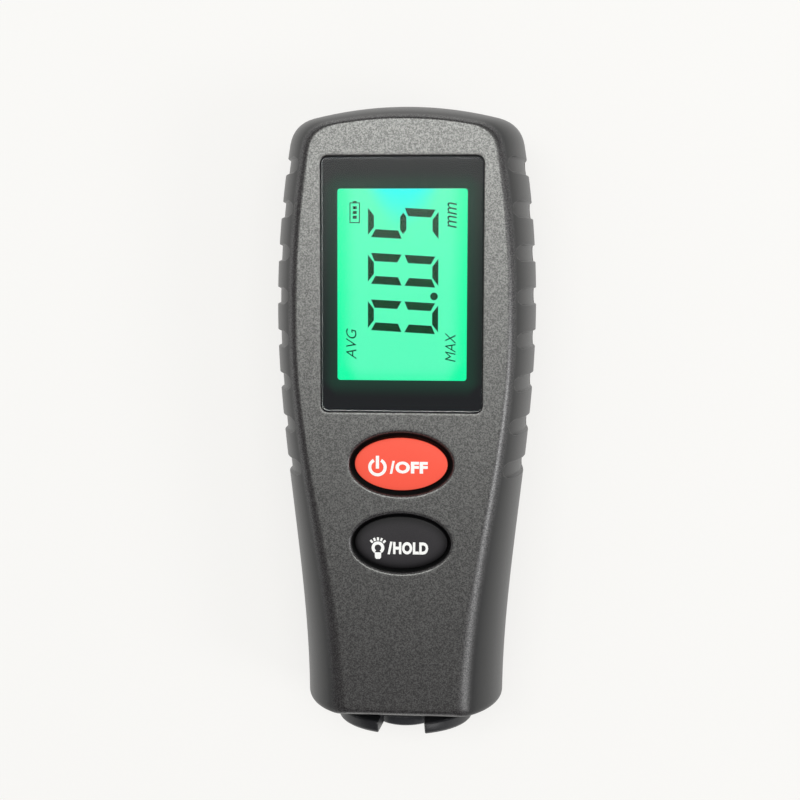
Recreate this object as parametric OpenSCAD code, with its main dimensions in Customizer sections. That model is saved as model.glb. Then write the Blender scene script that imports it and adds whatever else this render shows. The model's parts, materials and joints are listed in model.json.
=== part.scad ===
// Coating thickness gauge: a two-shell hand instrument with a lit display, two oval keys,
// two AAA cells behind a hinged door and a spring-loaded measuring probe in a notched collar.
// Frame: the back rests on z = 0, the display end points to +Y and the probe to -Y.

/* [Case] */
// Overall length from the display end to the probe tip
overall_l = 110; // [108:0.5:124]
// Width across the grips, at the widest place
case_w = 45.6; // [44:0.2:52]
// Width at the display end, before its corners are rounded
top_w = 38.6; // [37:0.2:42]
// Width at the probe end
end_w = 35; // [33.5:0.2:40]
// Height from the back to the face
case_h = 27; // [27:0.5:32]
// Height of the joint between the two shells, and of the probe axis
split_h = 12.8; // [12.4:0.1:13.6]
// Distance of the widest place from the display end
wide_from_top = 35; // [30:0.5:40]
// Width of the flat face at its widest
face_w = 35.2; // [33.5:0.2:38]
// Width of the flat face at the display end
face_top_w = 27.6; // [26:0.2:30]
// Width of the flat face at the probe end
face_end_w = 18.8; // [17:0.2:22]
// Distance from the display end at which the face starts to narrow
face_taper_from_top = 39; // [34:0.5:44]
// Setback of the face from the display end
face_setback = 3.25; // [2.5:0.05:4]
// Roundness of the sloped sides, from a flat chamfer to a quarter ellipse
side_roundness = 1.45; // [1.2:0.05:2]
// Radius of the bow of the display end
top_bow_r = 64; // [55:1:90]
// Radius of the corners at the display end
top_corner_r = 3.4; // [2.5:0.1:5]
// Radius of the corners at the probe end
end_corner_r = 1.4; // [1:0.1:2]
// Rounding of the edge between the face and the probe end
end_edge_r = 1.2; // [0.8:0.1:1.6]
// Setback of the back's outline from the widest outline
back_setback = 2.4; // [1.8:0.1:3]
// Thickness of the side walls and of the back
wall = 2.2; // [2:0.1:2.6]
// Thickness of the wall under the face
face_wall = 2.4; // [2.2:0.1:2.8]
// Height of the tongue on the rear shell's rim
tongue_h = 1; // [0.8:0.1:1.4]
// Thickness of the tongue
tongue_t = 0.7; // [0.6:0.05:0.9]
// Play round the tongue
tongue_gap = 0.1; // [0.05:0.01:0.2]
// Distance of the tongue from the inner face of the wall
tongue_inset = 0.2; // [0.1:0.05:0.4]
// Depth of the tongue's root in the rear shell's wall
tongue_root = 0.6; // [0.4:0.1:1]

/* [Grip grooves] */
// Number of grooves on each side
groove_count = 8; // [4:1:8]
// Spacing of the grooves
groove_pitch = 7.38; // [6.5:0.02:7.6]
// Distance of the first groove from the display end
groove_from_top = 10.5; // [9:0.1:13]
// Width of a groove
groove_w = 2.7; // [2:0.1:3.4]
// Depth of a groove
groove_depth = 0.55; // [0.3:0.05:0.8]
// Share of the sloped side that a groove climbs
groove_reach = 0.63; // [0.4:0.01:0.7]
// Height of a groove's lower end above the back
groove_low = 5; // [3.5:0.1:8]

/* [Display] */
// Distance of the display's centre from the display end
display_from_top = 30.7; // [30:0.1:34]
// Width of the lens
lens_w = 27.1; // [26:0.1:28]
// Length of the lens
lens_l = 42.7; // [40:0.1:43]
// Thickness of the lens
lens_t = 1.2; // [1:0.05:1.4]
// Depth of the lens below the face
lens_drop = 0.2; // [0.1:0.02:0.3]
// Corner radius of the lens
lens_r = 1.1; // [0.8:0.1:2]
// Gap round the lens
lens_gap = 0.12; // [0.08:0.01:0.2]
// Thickness of the black border film
film_t = 0.15; // [0.1:0.01:0.2]
// Width of the window in the film
window_w = 21.9; // [20:0.1:22.4]
// Length of the window in the film
window_l = 32.2; // [30:0.1:33]
// Corner radius of the window
window_r = 0.5; // [0.3:0.05:1]
// Margin from the window to the edge of the opening in the face
ledge_margin = 0.7; // [0.4:0.05:0.9]
// Width of the display glass
glass_w = 25; // [24.4:0.1:25.4]
// Length of the display glass
glass_l = 37.4; // [36.6:0.1:37.8]
// Thickness of the display glass
glass_t = 2.4; // [2:0.1:2.6]
// Thickness of the light guide
guide_t = 3; // [2.6:0.1:3.2]
// Thickness of the contact strips
strip_t = 2; // [1.6:0.1:2.2]
// Thickness of the floor of the display frame
frame_floor = 1.1; // [0.9:0.05:1.3]
// Thickness of the walls of the display frame
frame_wall = 1.2; // [1:0.05:1.3]
// Margin from the light guide to the sides of the glass
guide_margin = 0.2; // [0.1:0.05:0.5]
// Play of the glass, the light guide and the strips in the frame
frame_gap = 0.1; // [0.05:0.01:0.2]

/* [Keys] */
// Width of a key
key_w = 15.8; // [14:0.1:16.4]
// Length of a key
key_l = 9; // [8:0.1:9.4]
// Distance from the display's centre to the red key
power_from_display = 30.3; // [29.5:0.1:32]
// Distance from the red key to the black key
key_pitch = 13.6; // [13:0.1:14.6]
// Gap round a key
key_gap = 0.18; // [0.14:0.01:0.3]
// Depth of the rim of a key below the face
key_rim_drop = 0.45; // [0.2:0.05:0.8]
// Height of a key's crown over its rim
key_crown = 0.55; // [0.3:0.05:0.9]
// Spread of the dish round a key, at the face
dish_spread = 0.6; // [0.3:0.05:0.9]
// Depth of the dish
dish_depth = 1; // [0.6:0.05:1.2]
// Spread of a key's flange under the face
flange_spread = 1.1; // [0.8:0.05:1.3]
// Thickness of the flange
flange_t = 1; // [0.8:0.05:1.2]
// Travel of a key
key_travel = 0.5; // [0.3:0.05:0.6]
// Width of a switch body
switch_w = 6; // [5:0.1:6.6]
// Height of a switch body
switch_h = 3.4; // [3:0.1:3.8]
// Radius of a switch stem
stem_r = 1.7; // [1.4:0.05:2]
// Gap round a switch stem
stem_gap = 0.15; // [0.1:0.01:0.25]
// Depth of a stem's foot in its switch
stem_sink = 1; // [0.8:0.05:1.2]
// Room under a pressed stem
stem_room = 0.2; // [0.1:0.05:0.4]
// Height of the post under a key
key_post_h = 1.1; // [0.8:0.05:1.3]
// Spread of the post under a key past the stem
key_post_spread = 0.3; // [0.2:0.05:0.5]

/* [Board] */
// Half width of the board beside the display
board_half_w = 15; // [14.6:0.1:15.4]
// Half width of the board between the upper case screws
board_tongue_half_w = 10.6; // [10:0.1:10.8]
// Half width of the board beside the keys
board_low_half_w = 12.5; // [11:0.1:13]
// Thickness of the board
board_t = 1.6; // [1.2:0.1:1.8]
// Margin of the board at its upper step and past the connector
board_margin = 0.6; // [0.4:0.05:1]
// Length of the board's wide part past the lower end of the display frame
board_shoulder = 7.4; // [7:0.1:8]
// Distance of the upper board screws from the middle
board_screw_x = 8; // [6.4:0.1:8.2]
// Distance of the upper board screws from the board's end
board_screw_edge = 2.7; // [2.4:0.1:3]
// Distance of the lower board screws from the board's edges
board_screw_inset = 2.4; // [2.1:0.1:2.6]
// Play of a board screw in the board
board_screw_gap = 0.1; // [0.05:0.01:0.2]
// Length of the board past the upper end of the display frame
board_over = 6; // [5.6:0.1:6.4]
// Radius of the board screws
board_screw_r = 0.95; // [0.8:0.05:1.1]
// Radius of the heads of the board screws
board_head_r = 1.9; // [1.6:0.1:2.1]
// Height of the heads of the board screws
board_head_h = 1.3; // [1:0.1:1.4]
// Depth of the board screws in their posts
board_screw_bite = 3.4; // [2.4:0.1:4]
// Wall of a screw post
post_wall = 1.1; // [0.9:0.05:1.3]

/* [Parts on the board] */
// Distance from the display's centre to the parts under the board
parts_from_display = 16; // [15:0.1:17]
// Width of the controller chip
chip_w = 10; // [8:0.1:11]
// Height of the controller chip
chip_h = 1.6; // [1.2:0.1:1.8]
// Radius of the crystal's can
crystal_r = 1; // [0.8:0.05:1]
// Length of the crystal's can
crystal_l = 6; // [5:0.1:8]
// Gap between the chip and the crystal
crystal_gap = 1; // [0.5:0.1:1.4]
// Width of a capacitor
capacitor_w = 2; // [1.6:0.1:2.4]
// Length of a capacitor
capacitor_l = 1.25; // [1:0.05:2]
// Height of a capacitor
capacitor_h = 1.2; // [0.8:0.1:1.4]
// Spacing of the capacitors
capacitor_pitch = 3; // [2.4:0.1:4]
// Gap between the chip and the capacitors
capacitor_gap = 2; // [1:0.1:2.2]
// Length of the probe connector
connector_l = 4; // [3.6:0.1:4.4]
// Width of the probe connector
connector_w = 5; // [4:0.1:8]
// Height of the probe connector
connector_h = 2.9; // [2.4:0.1:3.4]
// Gap between the connector and the switch
connector_gap = 1.4; // [1:0.1:1.8]

/* [Case screws] */
// Distance of the upper screws from the display end
upper_screw_from_top = 7.7; // [7.4:0.1:7.9]
// Distance of the upper screws from the widest outline
upper_screw_inset = 6.7; // [6.5:0.1:7]
// Distance of the lower screws from the probe end
lower_screw_from_end = 11.4; // [11:0.1:12]
// Distance of the lower screws from the widest outline
lower_screw_inset = 6.4; // [6.2:0.1:6.6]
// Radius of a screw
screw_r = 1.1; // [0.9:0.05:1.2]
// Play of a screw in the rear shell
screw_gap = 0.15; // [0.1:0.01:0.25]
// Radius of a screw's head
screw_head_r = 2.1; // [1.8:0.05:2.2]
// Height of a screw's head
screw_head_h = 1.6; // [1.2:0.1:2]
// Depth of a screw head's seat in the back
screw_seat = 8.8; // [7:0.1:9.4]
// Depth of a screw in the front shell
screw_bite = 4.6; // [3.6:0.1:5]
// Gap round a screw's head
head_gap = 0.2; // [0.1:0.01:0.3]
// Wall of a screw boss
boss_wall = 1; // [0.9:0.05:1.1]
// Wall of a screw boss in the front shell
front_boss_wall = 1.4; // [1.2:0.05:1.5]
// Solid length of a lower front boss past its screw
boss_roof = 1.2; // [1:0.1:1.6]
// Thickness of the web between a front boss and the wall
web_t = 1.6; // [1.2:0.1:2]
// Length of a slot of the cross recess in a screw's head
cross_l = 2.4; // [2:0.1:2.8]
// Width of a slot of the cross recess
cross_w = 0.6; // [0.5:0.05:0.8]
// Depth of the cross recess
cross_depth = 0.8; // [0.6:0.05:1]

/* [Battery bay] */
// Diameter of a cell
cell_d = 10.5; // [10.1:0.1:10.6]
// Length of a cell, with its nub
cell_l = 44.5; // [43.5:0.1:44.9]
// Radius of a cell's nub
nub_r = 1.9; // [1.7:0.05:2.1]
// Length of a cell's nub
nub_l = 1.2; // [0.8:0.1:1.4]
// Gap between the two cells
cell_gap = 0.7; // [0.5:0.05:0.9]
// Gap between a cell and the side of the bay
bay_gap = 0.45; // [0.3:0.05:0.6]
// Distance of the bay's centre from the display end
bay_from_top = 60.5; // [60:0.1:61.5]
// Length of a contact spring as fitted
contact_l = 4.7; // [4:0.1:5.4]
// Thickness of a contact plate
plate_t = 0.4; // [0.3:0.02:0.5]
// Width of a contact plate
plate_w = 8; // [7:0.1:9]
// Width of a contact plate's tail
tail_w = 3; // [2.4:0.1:3.4]
// Radius of the wire of the contact springs
contact_wire_r = 0.4; // [0.3:0.02:0.45]
// Radius of the coils of the contact springs
contact_coil_r = 3.2; // [2.8:0.1:3.6]
// Thickness of the bay's walls
bay_wall = 1.2; // [1:0.05:1.3]
// Gap between a cell and the door
cell_lift = 0.55; // [0.4:0.05:0.7]
// Gap round a contact plate's tail in the bay's roof
tail_gap = 0.2; // [0.1:0.05:0.3]

/* [Battery door] */
// Margin of the door round the bay
door_margin = 1.9; // [1.8:0.05:2.2]
// Length of the door past the bay at the latch
latch_over = 3.1; // [2.9:0.1:3.4]
// Distance from the bay to the hinge axis
hinge_over = 3; // [2.8:0.1:3.2]
// Thickness of the door
door_t = 1.6; // [1.4:0.05:1.8]
// Depth of the door below the back
door_drop = 0.2; // [0.1:0.02:0.3]
// Gap round the door
door_gap = 0.25; // [0.2:0.01:0.35]
// Radius of the hinge barrel
barrel_r = 1.3; // [1.2:0.05:1.4]
// Radius of the hinge pins
pin_r = 0.8; // [0.6:0.05:0.9]
// Length of a hinge pin
pin_l = 1.1; // [0.9:0.05:1.3]
// Play of a hinge pin in its socket
pin_gap = 0.06; // [0.04:0.01:0.1]
// Height of the latch rib over the door
latch_h = 1.8; // [1.4:0.1:2.2]
// Thickness of the latch rib
latch_t = 0.8; // [0.6:0.05:1]
// Gap between the latch rib and the bay's wall
latch_gap = 0.5; // [0.4:0.05:0.6]
// Distance of the latch rib's ends from the bay's sides
latch_inset = 3; // [2.5:0.1:5]
// Room round the latch rib in its slot
latch_room = 0.4; // [0.3:0.05:0.5]
// Gap between the door and the seat that it closes on
door_room = 0.2; // [0.1:0.05:0.3]
// Margin of the frame that carries the door
frame_margin = 1.2; // [1:0.1:1.6]
// Width of the frame past a hinge pin
pin_seat = 1; // [0.8:0.1:1.4]
// Number of thumb ridges
ridge_count = 5; // [3:1:7]
// Spacing of the thumb ridges
ridge_pitch = 1.8; // [1.4:0.1:2.2]
// Length of a thumb ridge
ridge_l = 12; // [8:0.5:16]
// Width of a thumb ridge
ridge_w = 0.7; // [0.5:0.05:0.9]
// Depth of a thumb ridge
ridge_depth = 0.4; // [0.2:0.05:0.6]
// Distance of the first thumb ridge from the door's end
ridge_from_end = 3; // [2:0.1:5]

/* [Probe] */
// Length of the probe tip past the end of the case
probe_reach = 5; // [4.8:0.05:5.6]
// Radius of the collar
collar_r = 12.1; // [11.4:0.1:12.3]
// Distance from the case to the collar's ring
collar_stand = 1.8; // [1.4:0.1:2.2]
// Length of the collar's ring
collar_l = 2.2; // [1.8:0.1:2.6]
// Radius of the collar's neck
neck_r = 9; // [8.6:0.1:9.4]
// Play of the neck in the case
neck_gap = 0.12; // [0.08:0.01:0.2]
// Radius of the flange behind the wall of the case
inner_flange_r = 10.2; // [10:0.1:10.3]
// Thickness of the flange behind the wall of the case
inner_flange_t = 2; // [1.6:0.1:2.4]
// Wall of the collar's rear barrel
barrel_wall = 1.2; // [1:0.05:1.3]
// Length of the spring chamber
chamber_l = 9; // [8.4:0.1:9.4]
// Half width of the notch at the sleeve
notch_low_w = 3.1; // [2.6:0.1:3.6]
// Half width of the notch at the collar's rim
notch_high_w = 4.2; // [3.8:0.1:5]
// Radius of the recess in the front of the collar
collar_recess_r = 6.3; // [6:0.1:6.6]
// Depth of the recess in the front of the collar
collar_recess = 3.4; // [2.6:0.1:3.6]
// Radius of the sleeve
sleeve_r = 5.2; // [4.9:0.05:5.4]
// Distance from the sleeve's front to the probe tip
sleeve_back = 0.4; // [0.3:0.05:0.6]
// Wall of the sleeve
sleeve_wall = 0.8; // [0.6:0.05:1]
// Play of the sleeve in the collar
sleeve_gap = 0.08; // [0.05:0.01:0.1]
// Radius of the sleeve's stop flange
stop_r = 6; // [5.8:0.05:6.1]
// Thickness of the sleeve's stop flange
stop_t = 1.5; // [1.2:0.1:1.8]
// Gap round the stop flange and the spring
chamber_gap = 0.3; // [0.25:0.01:0.4]
// Radius of the core pin
core_r = 1.6; // [1.3:0.05:1.9]
// Radius of the winding
winding_r = 4; // [3.4:0.1:4.1]
// Radius of the wire of the probe spring
spring_wire_r = 0.45; // [0.35:0.02:0.5]
// Radius of the coils of the probe spring
spring_coil_r = 5.2; // [5:0.05:5.4]
// Chamfer of the collar's back edge and of the sleeve
small_chamfer = 0.3; // [0.2:0.05:0.4]
// Chamfer of the collar's front edge
collar_chamfer = 0.5; // [0.3:0.05:0.7]
// Length of the sleeve's guide past the flange
guide_over = 0.8; // [0.6:0.05:1]
// Thickness of the sleeve's front
sleeve_front_t = 1; // [0.8:0.05:1.2]
// Distance of the winding from the back of the sleeve's guide
winding_set = 0.4; // [0.3:0.05:0.6]
// Turns of the probe spring
spring_turns = 5; // [4:0.5:6]
// Turns of a contact spring
contact_turns = 3.5; // [3:0.5:4.5]
// Thickness of the cap
cap_t = 1.5; // [1.2:0.1:1.8]
// Gap round the lead in the cap
lead_gap = 0.1; // [0.05:0.01:0.2]
// Radius of the probe's lead
lead_r = 0.9; // [0.6:0.05:1]

/* [Hidden] */
$fn = 48;

// Overrun of cutters past the faces that they cut
over = 1;
// Depth to which posts and blocks run into the wall that carries them
sink = 0.4;

// Ends of the case along Y
y_top = overall_l / 2;
y_end = -overall_l / 2 + probe_reach;
y_wide = y_top - wide_from_top;
y_face_taper = y_top - face_taper_from_top;
y_middle = (y_top + y_end) / 2;

// Heights through the front half, from the face down
ceiling_z = case_h - face_wall;
lens_z = case_h - lens_drop - lens_t;
ledge_z = lens_z - film_t;
glass_z = ceiling_z - glass_t;
guide_z = glass_z - guide_t;
board_z = guide_z - frame_floor;
board_low_z = board_z - board_t;

// Places along Y on the front half
display_y = y_top - display_from_top;
power_y = display_y - power_from_display;
unit_y = power_y - key_pitch;
frame_l = glass_l + 2 * (frame_gap + frame_wall);
frame_w = glass_w + 2 * (frame_gap + frame_wall);
guide_l = glass_l - 2 * (strip_t + 2 * frame_wall);
guide_w = glass_w - 2 * guide_margin;
strip_y = guide_l / 2 + frame_wall + strip_t / 2;
strip_l = window_w;
connector_y = unit_y - switch_w / 2 - connector_l / 2 - connector_gap;
board_top_y = display_y + frame_l / 2 + board_over;
board_step_y = display_y + frame_l / 2 - board_margin;
board_waist_y = display_y - frame_l / 2 - board_shoulder;
board_low_y = connector_y - connector_l / 2 - board_margin;

// Screws: where the board and the case are held
board_high_screw_y = board_top_y - board_screw_edge;
board_low_screw_x = board_half_w - board_screw_inset;
board_low_screw_y = board_waist_y + board_screw_inset;
board_screw_spots = [
    [board_screw_x, board_high_screw_y], [-board_screw_x, board_high_screw_y],
    [board_low_screw_x, board_low_screw_y], [-board_low_screw_x, board_low_screw_y]
];
post_r = board_screw_r + post_wall;
upper_screw_y = y_top - upper_screw_from_top;
lower_screw_y = y_end + lower_screw_from_end;
upper_screw_x = split_half(upper_screw_y) - upper_screw_inset;
lower_screw_x = split_half(lower_screw_y) - lower_screw_inset;
case_screw_spots = [
    [upper_screw_x, upper_screw_y], [-upper_screw_x, upper_screw_y],
    [lower_screw_x, lower_screw_y], [-lower_screw_x, lower_screw_y]
];
boss_r = screw_head_r + head_gap + boss_wall;
front_boss_r = screw_r + front_boss_wall;

// Key heights
key_rim_z = case_h - key_rim_drop;
flange_z = ceiling_z - flange_t;
switch_top_z = board_z + switch_h;
stem_top_z = flange_z - key_post_h;
stem_foot_z = switch_top_z - stem_sink;

// Battery bay and door
cell_r = cell_d / 2;
cell_x = cell_r + cell_gap / 2;
bay_half_w = cell_x + cell_r + bay_gap;
bay_l = cell_l + contact_l + 2 * plate_t;
bay_y = y_top - bay_from_top;
bay_low_y = bay_y - bay_l / 2;
bay_high_y = bay_y + bay_l / 2;
door_top_z = door_drop + door_t;
cell_z = door_top_z + cell_lift + cell_r;
bay_ceiling_z = cell_z + cell_r;
door_half_w = bay_half_w + door_margin;
recess_z = door_top_z + door_room;
door_low_y = bay_low_y - latch_over;
hinge_y = bay_high_y + hinge_over;
hinge_z = door_drop + barrel_r;
frame_z = hinge_z + barrel_r + door_gap + frame_margin;
latch_y = bay_low_y - bay_wall - latch_gap - latch_t;

// Probe, as distances outward from the end of the case
ring_back = collar_stand;
ring_front = collar_stand + collar_l;
flange_back = -wall - inner_flange_t;
guide_back = flange_back - guide_over;
chamber_back = guide_back - chamber_l;
sleeve_front = probe_reach - sleeve_back;
chamber_r = stop_r + chamber_gap;
barrel_out_r = chamber_r + barrel_wall;
sleeve_in_r = sleeve_r - sleeve_wall;
winding_front = sleeve_front - sleeve_front_t;
winding_back = guide_back + winding_set;
lead_hole_r = lead_r + lead_gap;

// Colours as the photo shows them, and plain ones inside
case_grey = "#6e6f6c";
dark_plastic = "#2c2c30";
steel = "#b9bcc0";
brass = "#c8a24a";

// Share of the way from the widest outline to the face, at a share u of the height
function slope_share(u) =
    1 - pow(1 - pow(min(max(u, 0), 1), side_roundness), 1 / side_roundness);

// Smooth step from 0 to 1
function ease(t) = let (c = min(max(t, 0), 1)) c * c * (3 - 2 * c);

// Half width of the case at the joint, and of the face, at a place along Y
function bowed(wide, top, y) = wide - (wide - top) * pow((y - y_wide) / wide_from_top, 2);
function split_half(y) = y > y_wide
    ? bowed(case_w, top_w, y) / 2
    : (case_w + (end_w - case_w) * ease((y_wide - y) / (y_wide - y_end))) / 2;
function face_half(y) = y > y_wide
    ? bowed(face_w, face_top_w, y) / 2
    : (face_w + (face_end_w - face_w) * ease((y_face_taper - y) / (y_face_taper - y_end))) / 2;
function half_at(y, share) = split_half(y) + (face_half(y) - split_half(y)) * share;

// Point on a quadratic curve from a to c that is pulled towards b
function bend(a, b, c, t) = (1 - t) * (1 - t) * a + 2 * t * (1 - t) * b + t * t * c;

// Outline of the case at one level: share of the slope, setbacks of the sides, the bowed end
// and the probe end
side_steps = 16;
corner_steps = 4;
bow_steps = 6;
function bow_y(x, top) = y_top - top - x * x / (2 * top_bow_r);
function half_outline(share, side, top, end) =
    let (
        ye = y_end + end,
        ce = half_at(ye, share) - side,
        y1 = bow_y(half_at(y_top, share) - side, top),
        ct = half_at(y1, share) - side,
        yt = bow_y(ct, top),
        re = end_corner_r,
        rt = top_corner_r,
        side_low = [half_at(ye + re, share) - side, ye + re],
        side_high = [half_at(yt - rt, share) - side, yt - rt],
        bow_start = [ct - rt, bow_y(ct - rt, top)]
    )
    concat(
        [for (i = [0:1]) [(ce - re) * i / 2, ye]],
        [for (i = [0:corner_steps - 1])
            bend([ce - re, ye], [ce, ye], side_low, i / corner_steps)],
        [for (i = [0:side_steps - 1])
            let (y = side_low[1] + (side_high[1] - side_low[1]) * i / side_steps)
            [half_at(y, share) - side, y]],
        [for (i = [0:corner_steps - 1]) bend(side_high, [ct, yt], bow_start, i / corner_steps)],
        [for (i = [0:bow_steps])
            let (x = bow_start[0] * (1 - i / bow_steps)) [x, bow_y(x, top)]]
    );
function whole_outline(half) =
    concat(half, [for (i = [len(half) - 2:-1:1]) [-half[i][0], half[i][1]]]);
function outline(share, side, top, end) = whole_outline(half_outline(share, side, top, end));
function at_height(points, z) = [for (p = points) [p[0], p[1], z]];

// Rings of the front half, set in from the outside by inset, and by end at the probe end
function end_rounding(z) =
    let (h = max(z - (case_h - end_edge_r), 0))
    end_edge_r - sqrt(end_edge_r * end_edge_r - h * h);
function front_ring(u, inset, end) =
    let (z = split_h + (case_h - split_h) * u, share = slope_share(u))
    at_height(outline(share, inset, face_setback * share + inset, end_rounding(z) + end), z);

// Rings of the rear half, at a share u of the way down from the joint to the back
back_roundness = 2.6;
function back_share(u) = 1 - pow(1 - pow(u, back_roundness), 1 / back_roundness);
function rear_ring(u, inset, end) =
    let (in = back_setback * back_share(u) + inset, turn = end_edge_r * back_share(u))
    at_height(outline(0, in, in, turn + end), split_h * (1 - u));

// Solid through a stack of rings of equal count, from the lowest up, closed round centre points
module loft(rings) {
    n = len(rings[0]);
    levels = len(rings);
    low = [0, y_centre(rings[0]), rings[0][0][2]];
    high = [0, y_centre(rings[levels - 1]), rings[levels - 1][0][2]];
    skin = [for (l = [0:levels - 2], i = [0:n - 1], k = [0, 1])
        let (j = (i + 1) % n, a = l * n + i, b = l * n + j, c = b + n, d = a + n)
        k == 0 ? [a, c, b] : [a, d, c]];
    low_cap = [for (i = [0:n - 1]) [levels * n, i, (i + 1) % n]];
    high_cap = [for (i = [0:n - 1])
        [levels * n + 1, (levels - 1) * n + (i + 1) % n, (levels - 1) * n + i]];
    polyhedron(concat([for (r = rings) each r], [low, high]), concat(skin, low_cap, high_cap));
}
function y_centre(ring) =
    let (ys = [for (p = ring) p[1]]) (min(ys) + max(ys)) / 2;

// Levels of the shells' surfaces, as shares of their height
front_levels = [for (t = [0, 16, 32, 45, 56, 66, 75, 83, 90]) pow(sin(t), 2 / side_roundness)];
rear_levels = [for (t = [90, 74, 58, 40, 20, 0]) pow(sin(t), 2 / back_roundness)];
module front_body(inset) loft([for (u = front_levels) front_ring(u, inset, 0)]);
module rear_body(inset) loft([for (u = rear_levels) rear_ring(u, inset, 0)]);
module front_cavity() {
    top = (ceiling_z - split_h) / (case_h - split_h);
    under = at_height(outline(0, wall, wall, wall), split_h - over);
    loft(concat([under], [for (u = [0, 0.45, 0.75, 1]) front_ring(u * top, wall, wall)]));
}
module rear_cavity() {
    low = 1 - wall / split_h;
    above = at_height(outline(0, wall, wall, wall), split_h + over);
    loft(concat([for (u = [low, 0.6, 0.3, 0]) rear_ring(u, wall, wall)], [above]));
}
module rim(inset, z, h) {
    translate([0, 0, z])
        linear_extrude(h)
            polygon(outline(0, inset, inset, inset));
}

// Grip grooves: long rounds seen from above on the front, and from the side on the rear
groove_spots = [for (i = [0:groove_count - 1]) y_top - groove_from_top - i * groove_pitch];
module long_round(l, d) {
    circle(d = d);
    translate([0, -d / 2])
        square([l, d]);
}
module front_grooves() {
    for (s = [1, -1], y = groove_spots)
        translate([s * (half_at(y, groove_reach) + groove_w / 2), y, split_h])
            rotate([0, 0, 90 - 90 * s])
                linear_extrude(case_h - split_h)
                    long_round(case_w / 4, groove_w);
}
module rear_grooves() {
    for (s = [1, -1], y = groove_spots)
        translate([s * split_half(y) - 4, y, groove_low + groove_w / 2])
            rotate([90, 0, 90])
                linear_extrude(8)
                    rotate([0, 0, 90])
                        long_round(split_h - groove_low - groove_w / 2, groove_w);
}

// Plate with rounded corners
module round_plate(w, l, r) {
    for (x = [r - w / 2, w / 2 - r], y = [r - l / 2, l / 2 - r])
        translate([x, y])
            circle(r);
    square([w - 2 * r, l], center = true);
    square([w, l - 2 * r], center = true);
}
module plate_at(w, l, r, y, z, t) {
    translate([0, y, z])
        linear_extrude(t)
            round_plate(w, l, r);
}
module block(w, l, y, z, t) {
    translate([-w / 2, y - l / 2, z])
        cube([w, l, t]);
}

// Oval rings for the keys and the dishes round them
oval_steps = 48;
function oval(grow, y, z) = [for (i = [0:oval_steps - 1])
    let (a = 360 * i / oval_steps)
    [(key_w / 2 + grow) * cos(a), y + (key_l / 2 + grow) * sin(a), z]];
module key_opening(y) {
    dish_z = case_h - dish_depth;
    loft([
        oval(key_gap, y, ceiling_z - over),
        oval(key_gap, y, dish_z),
        oval(key_gap + dish_spread * 0.35, y, dish_z + dish_depth * 0.55),
        oval(key_gap + dish_spread, y, case_h),
        oval(key_gap + dish_spread * 1.6, y, case_h + dish_depth * 0.6)
    ]);
}
module key(y) {
    crown_levels = [for (t = [0:15:75]) t];
    loft([oval(flange_spread, y, flange_z), oval(flange_spread, y, ceiling_z)]);
    loft(concat(
        [oval(0, y, flange_z)],
        [for (t = crown_levels)
            oval(-key_l / 2 * (1 - cos(t)), y, key_rim_z + key_crown * sin(t))]
    ));
    translate([0, y, stem_top_z])
        cylinder(r = stem_r + key_post_spread, h = flange_z - stem_top_z + flange_t / 2);
}
module switch_body(y) {
    difference() {
        block(switch_w, switch_w, y, board_z, switch_h);
        translate([0, y, stem_foot_z - key_travel - stem_room])
            cylinder(r = stem_r + stem_gap, h = switch_h);
    }
}
module switch_stem(y) {
    translate([0, y, stem_foot_z])
        cylinder(r = stem_r, h = stem_top_z - stem_foot_z);
}

// The case
module front_shell() {
    color(case_grey)
        difference() {
            union() {
                difference() {
                    front_body(0);
                    difference() {
                        front_grooves();
                        front_body(groove_depth);
                    }
                    front_cavity();
                    rim(tongue_out - tongue_gap, split_h - over, tongue_h + tongue_gap + over);
                }
                for (p = board_screw_spots)
                    translate([p[0], p[1], board_z])
                        cylinder(r = post_r, h = ceiling_z - board_z + sink);
                for (p = case_screw_spots)
                    front_boss(p);
            }
            plate_at(lens_w + 2 * lens_gap, lens_l + 2 * lens_gap, lens_r + lens_gap,
                display_y, ledge_z, lens_t + film_t + lens_drop + over);
            plate_at(window_w + 2 * ledge_margin, window_l + 2 * ledge_margin, window_r,
                display_y, ceiling_z - over, over + face_wall);
            key_opening(power_y);
            key_opening(unit_y);
            for (p = board_screw_spots)
                translate([p[0], p[1], board_z - over])
                    cylinder(r = board_screw_r, h = board_screw_bite + over);
            for (p = case_screw_spots)
                translate([p[0], p[1], split_h - over])
                    cylinder(r = screw_r, h = screw_bite + over);
            neck_hole();
        }
}
tongue_out = wall - tongue_inset - tongue_t;
module front_boss(p) {
    upper = p[1] > y_middle;
    h = upper ? ceiling_z - split_h + sink : screw_bite + boss_roof;
    web = split_half(p[1]) - abs(p[0]) - wall + 1.5 * sink;
    translate([p[0], p[1], split_h])
        cylinder(r = front_boss_r, h = h);
    translate([p[0] > 0 ? p[0] : p[0] - web, p[1] - web_t / 2, split_h + tongue_h + sink])
        cube([web, web_t, screw_bite - tongue_h]);
}
module neck_hole() {
    along_probe()
        translate([0, 0, -wall - over])
            cylinder(r = neck_r + neck_gap, h = wall + 2 * over);
}
module flange_seat() {
    along_probe()
        translate([0, 0, flange_back - over])
            cylinder(r = inner_flange_r + neck_gap, h = inner_flange_t + over);
}
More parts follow.
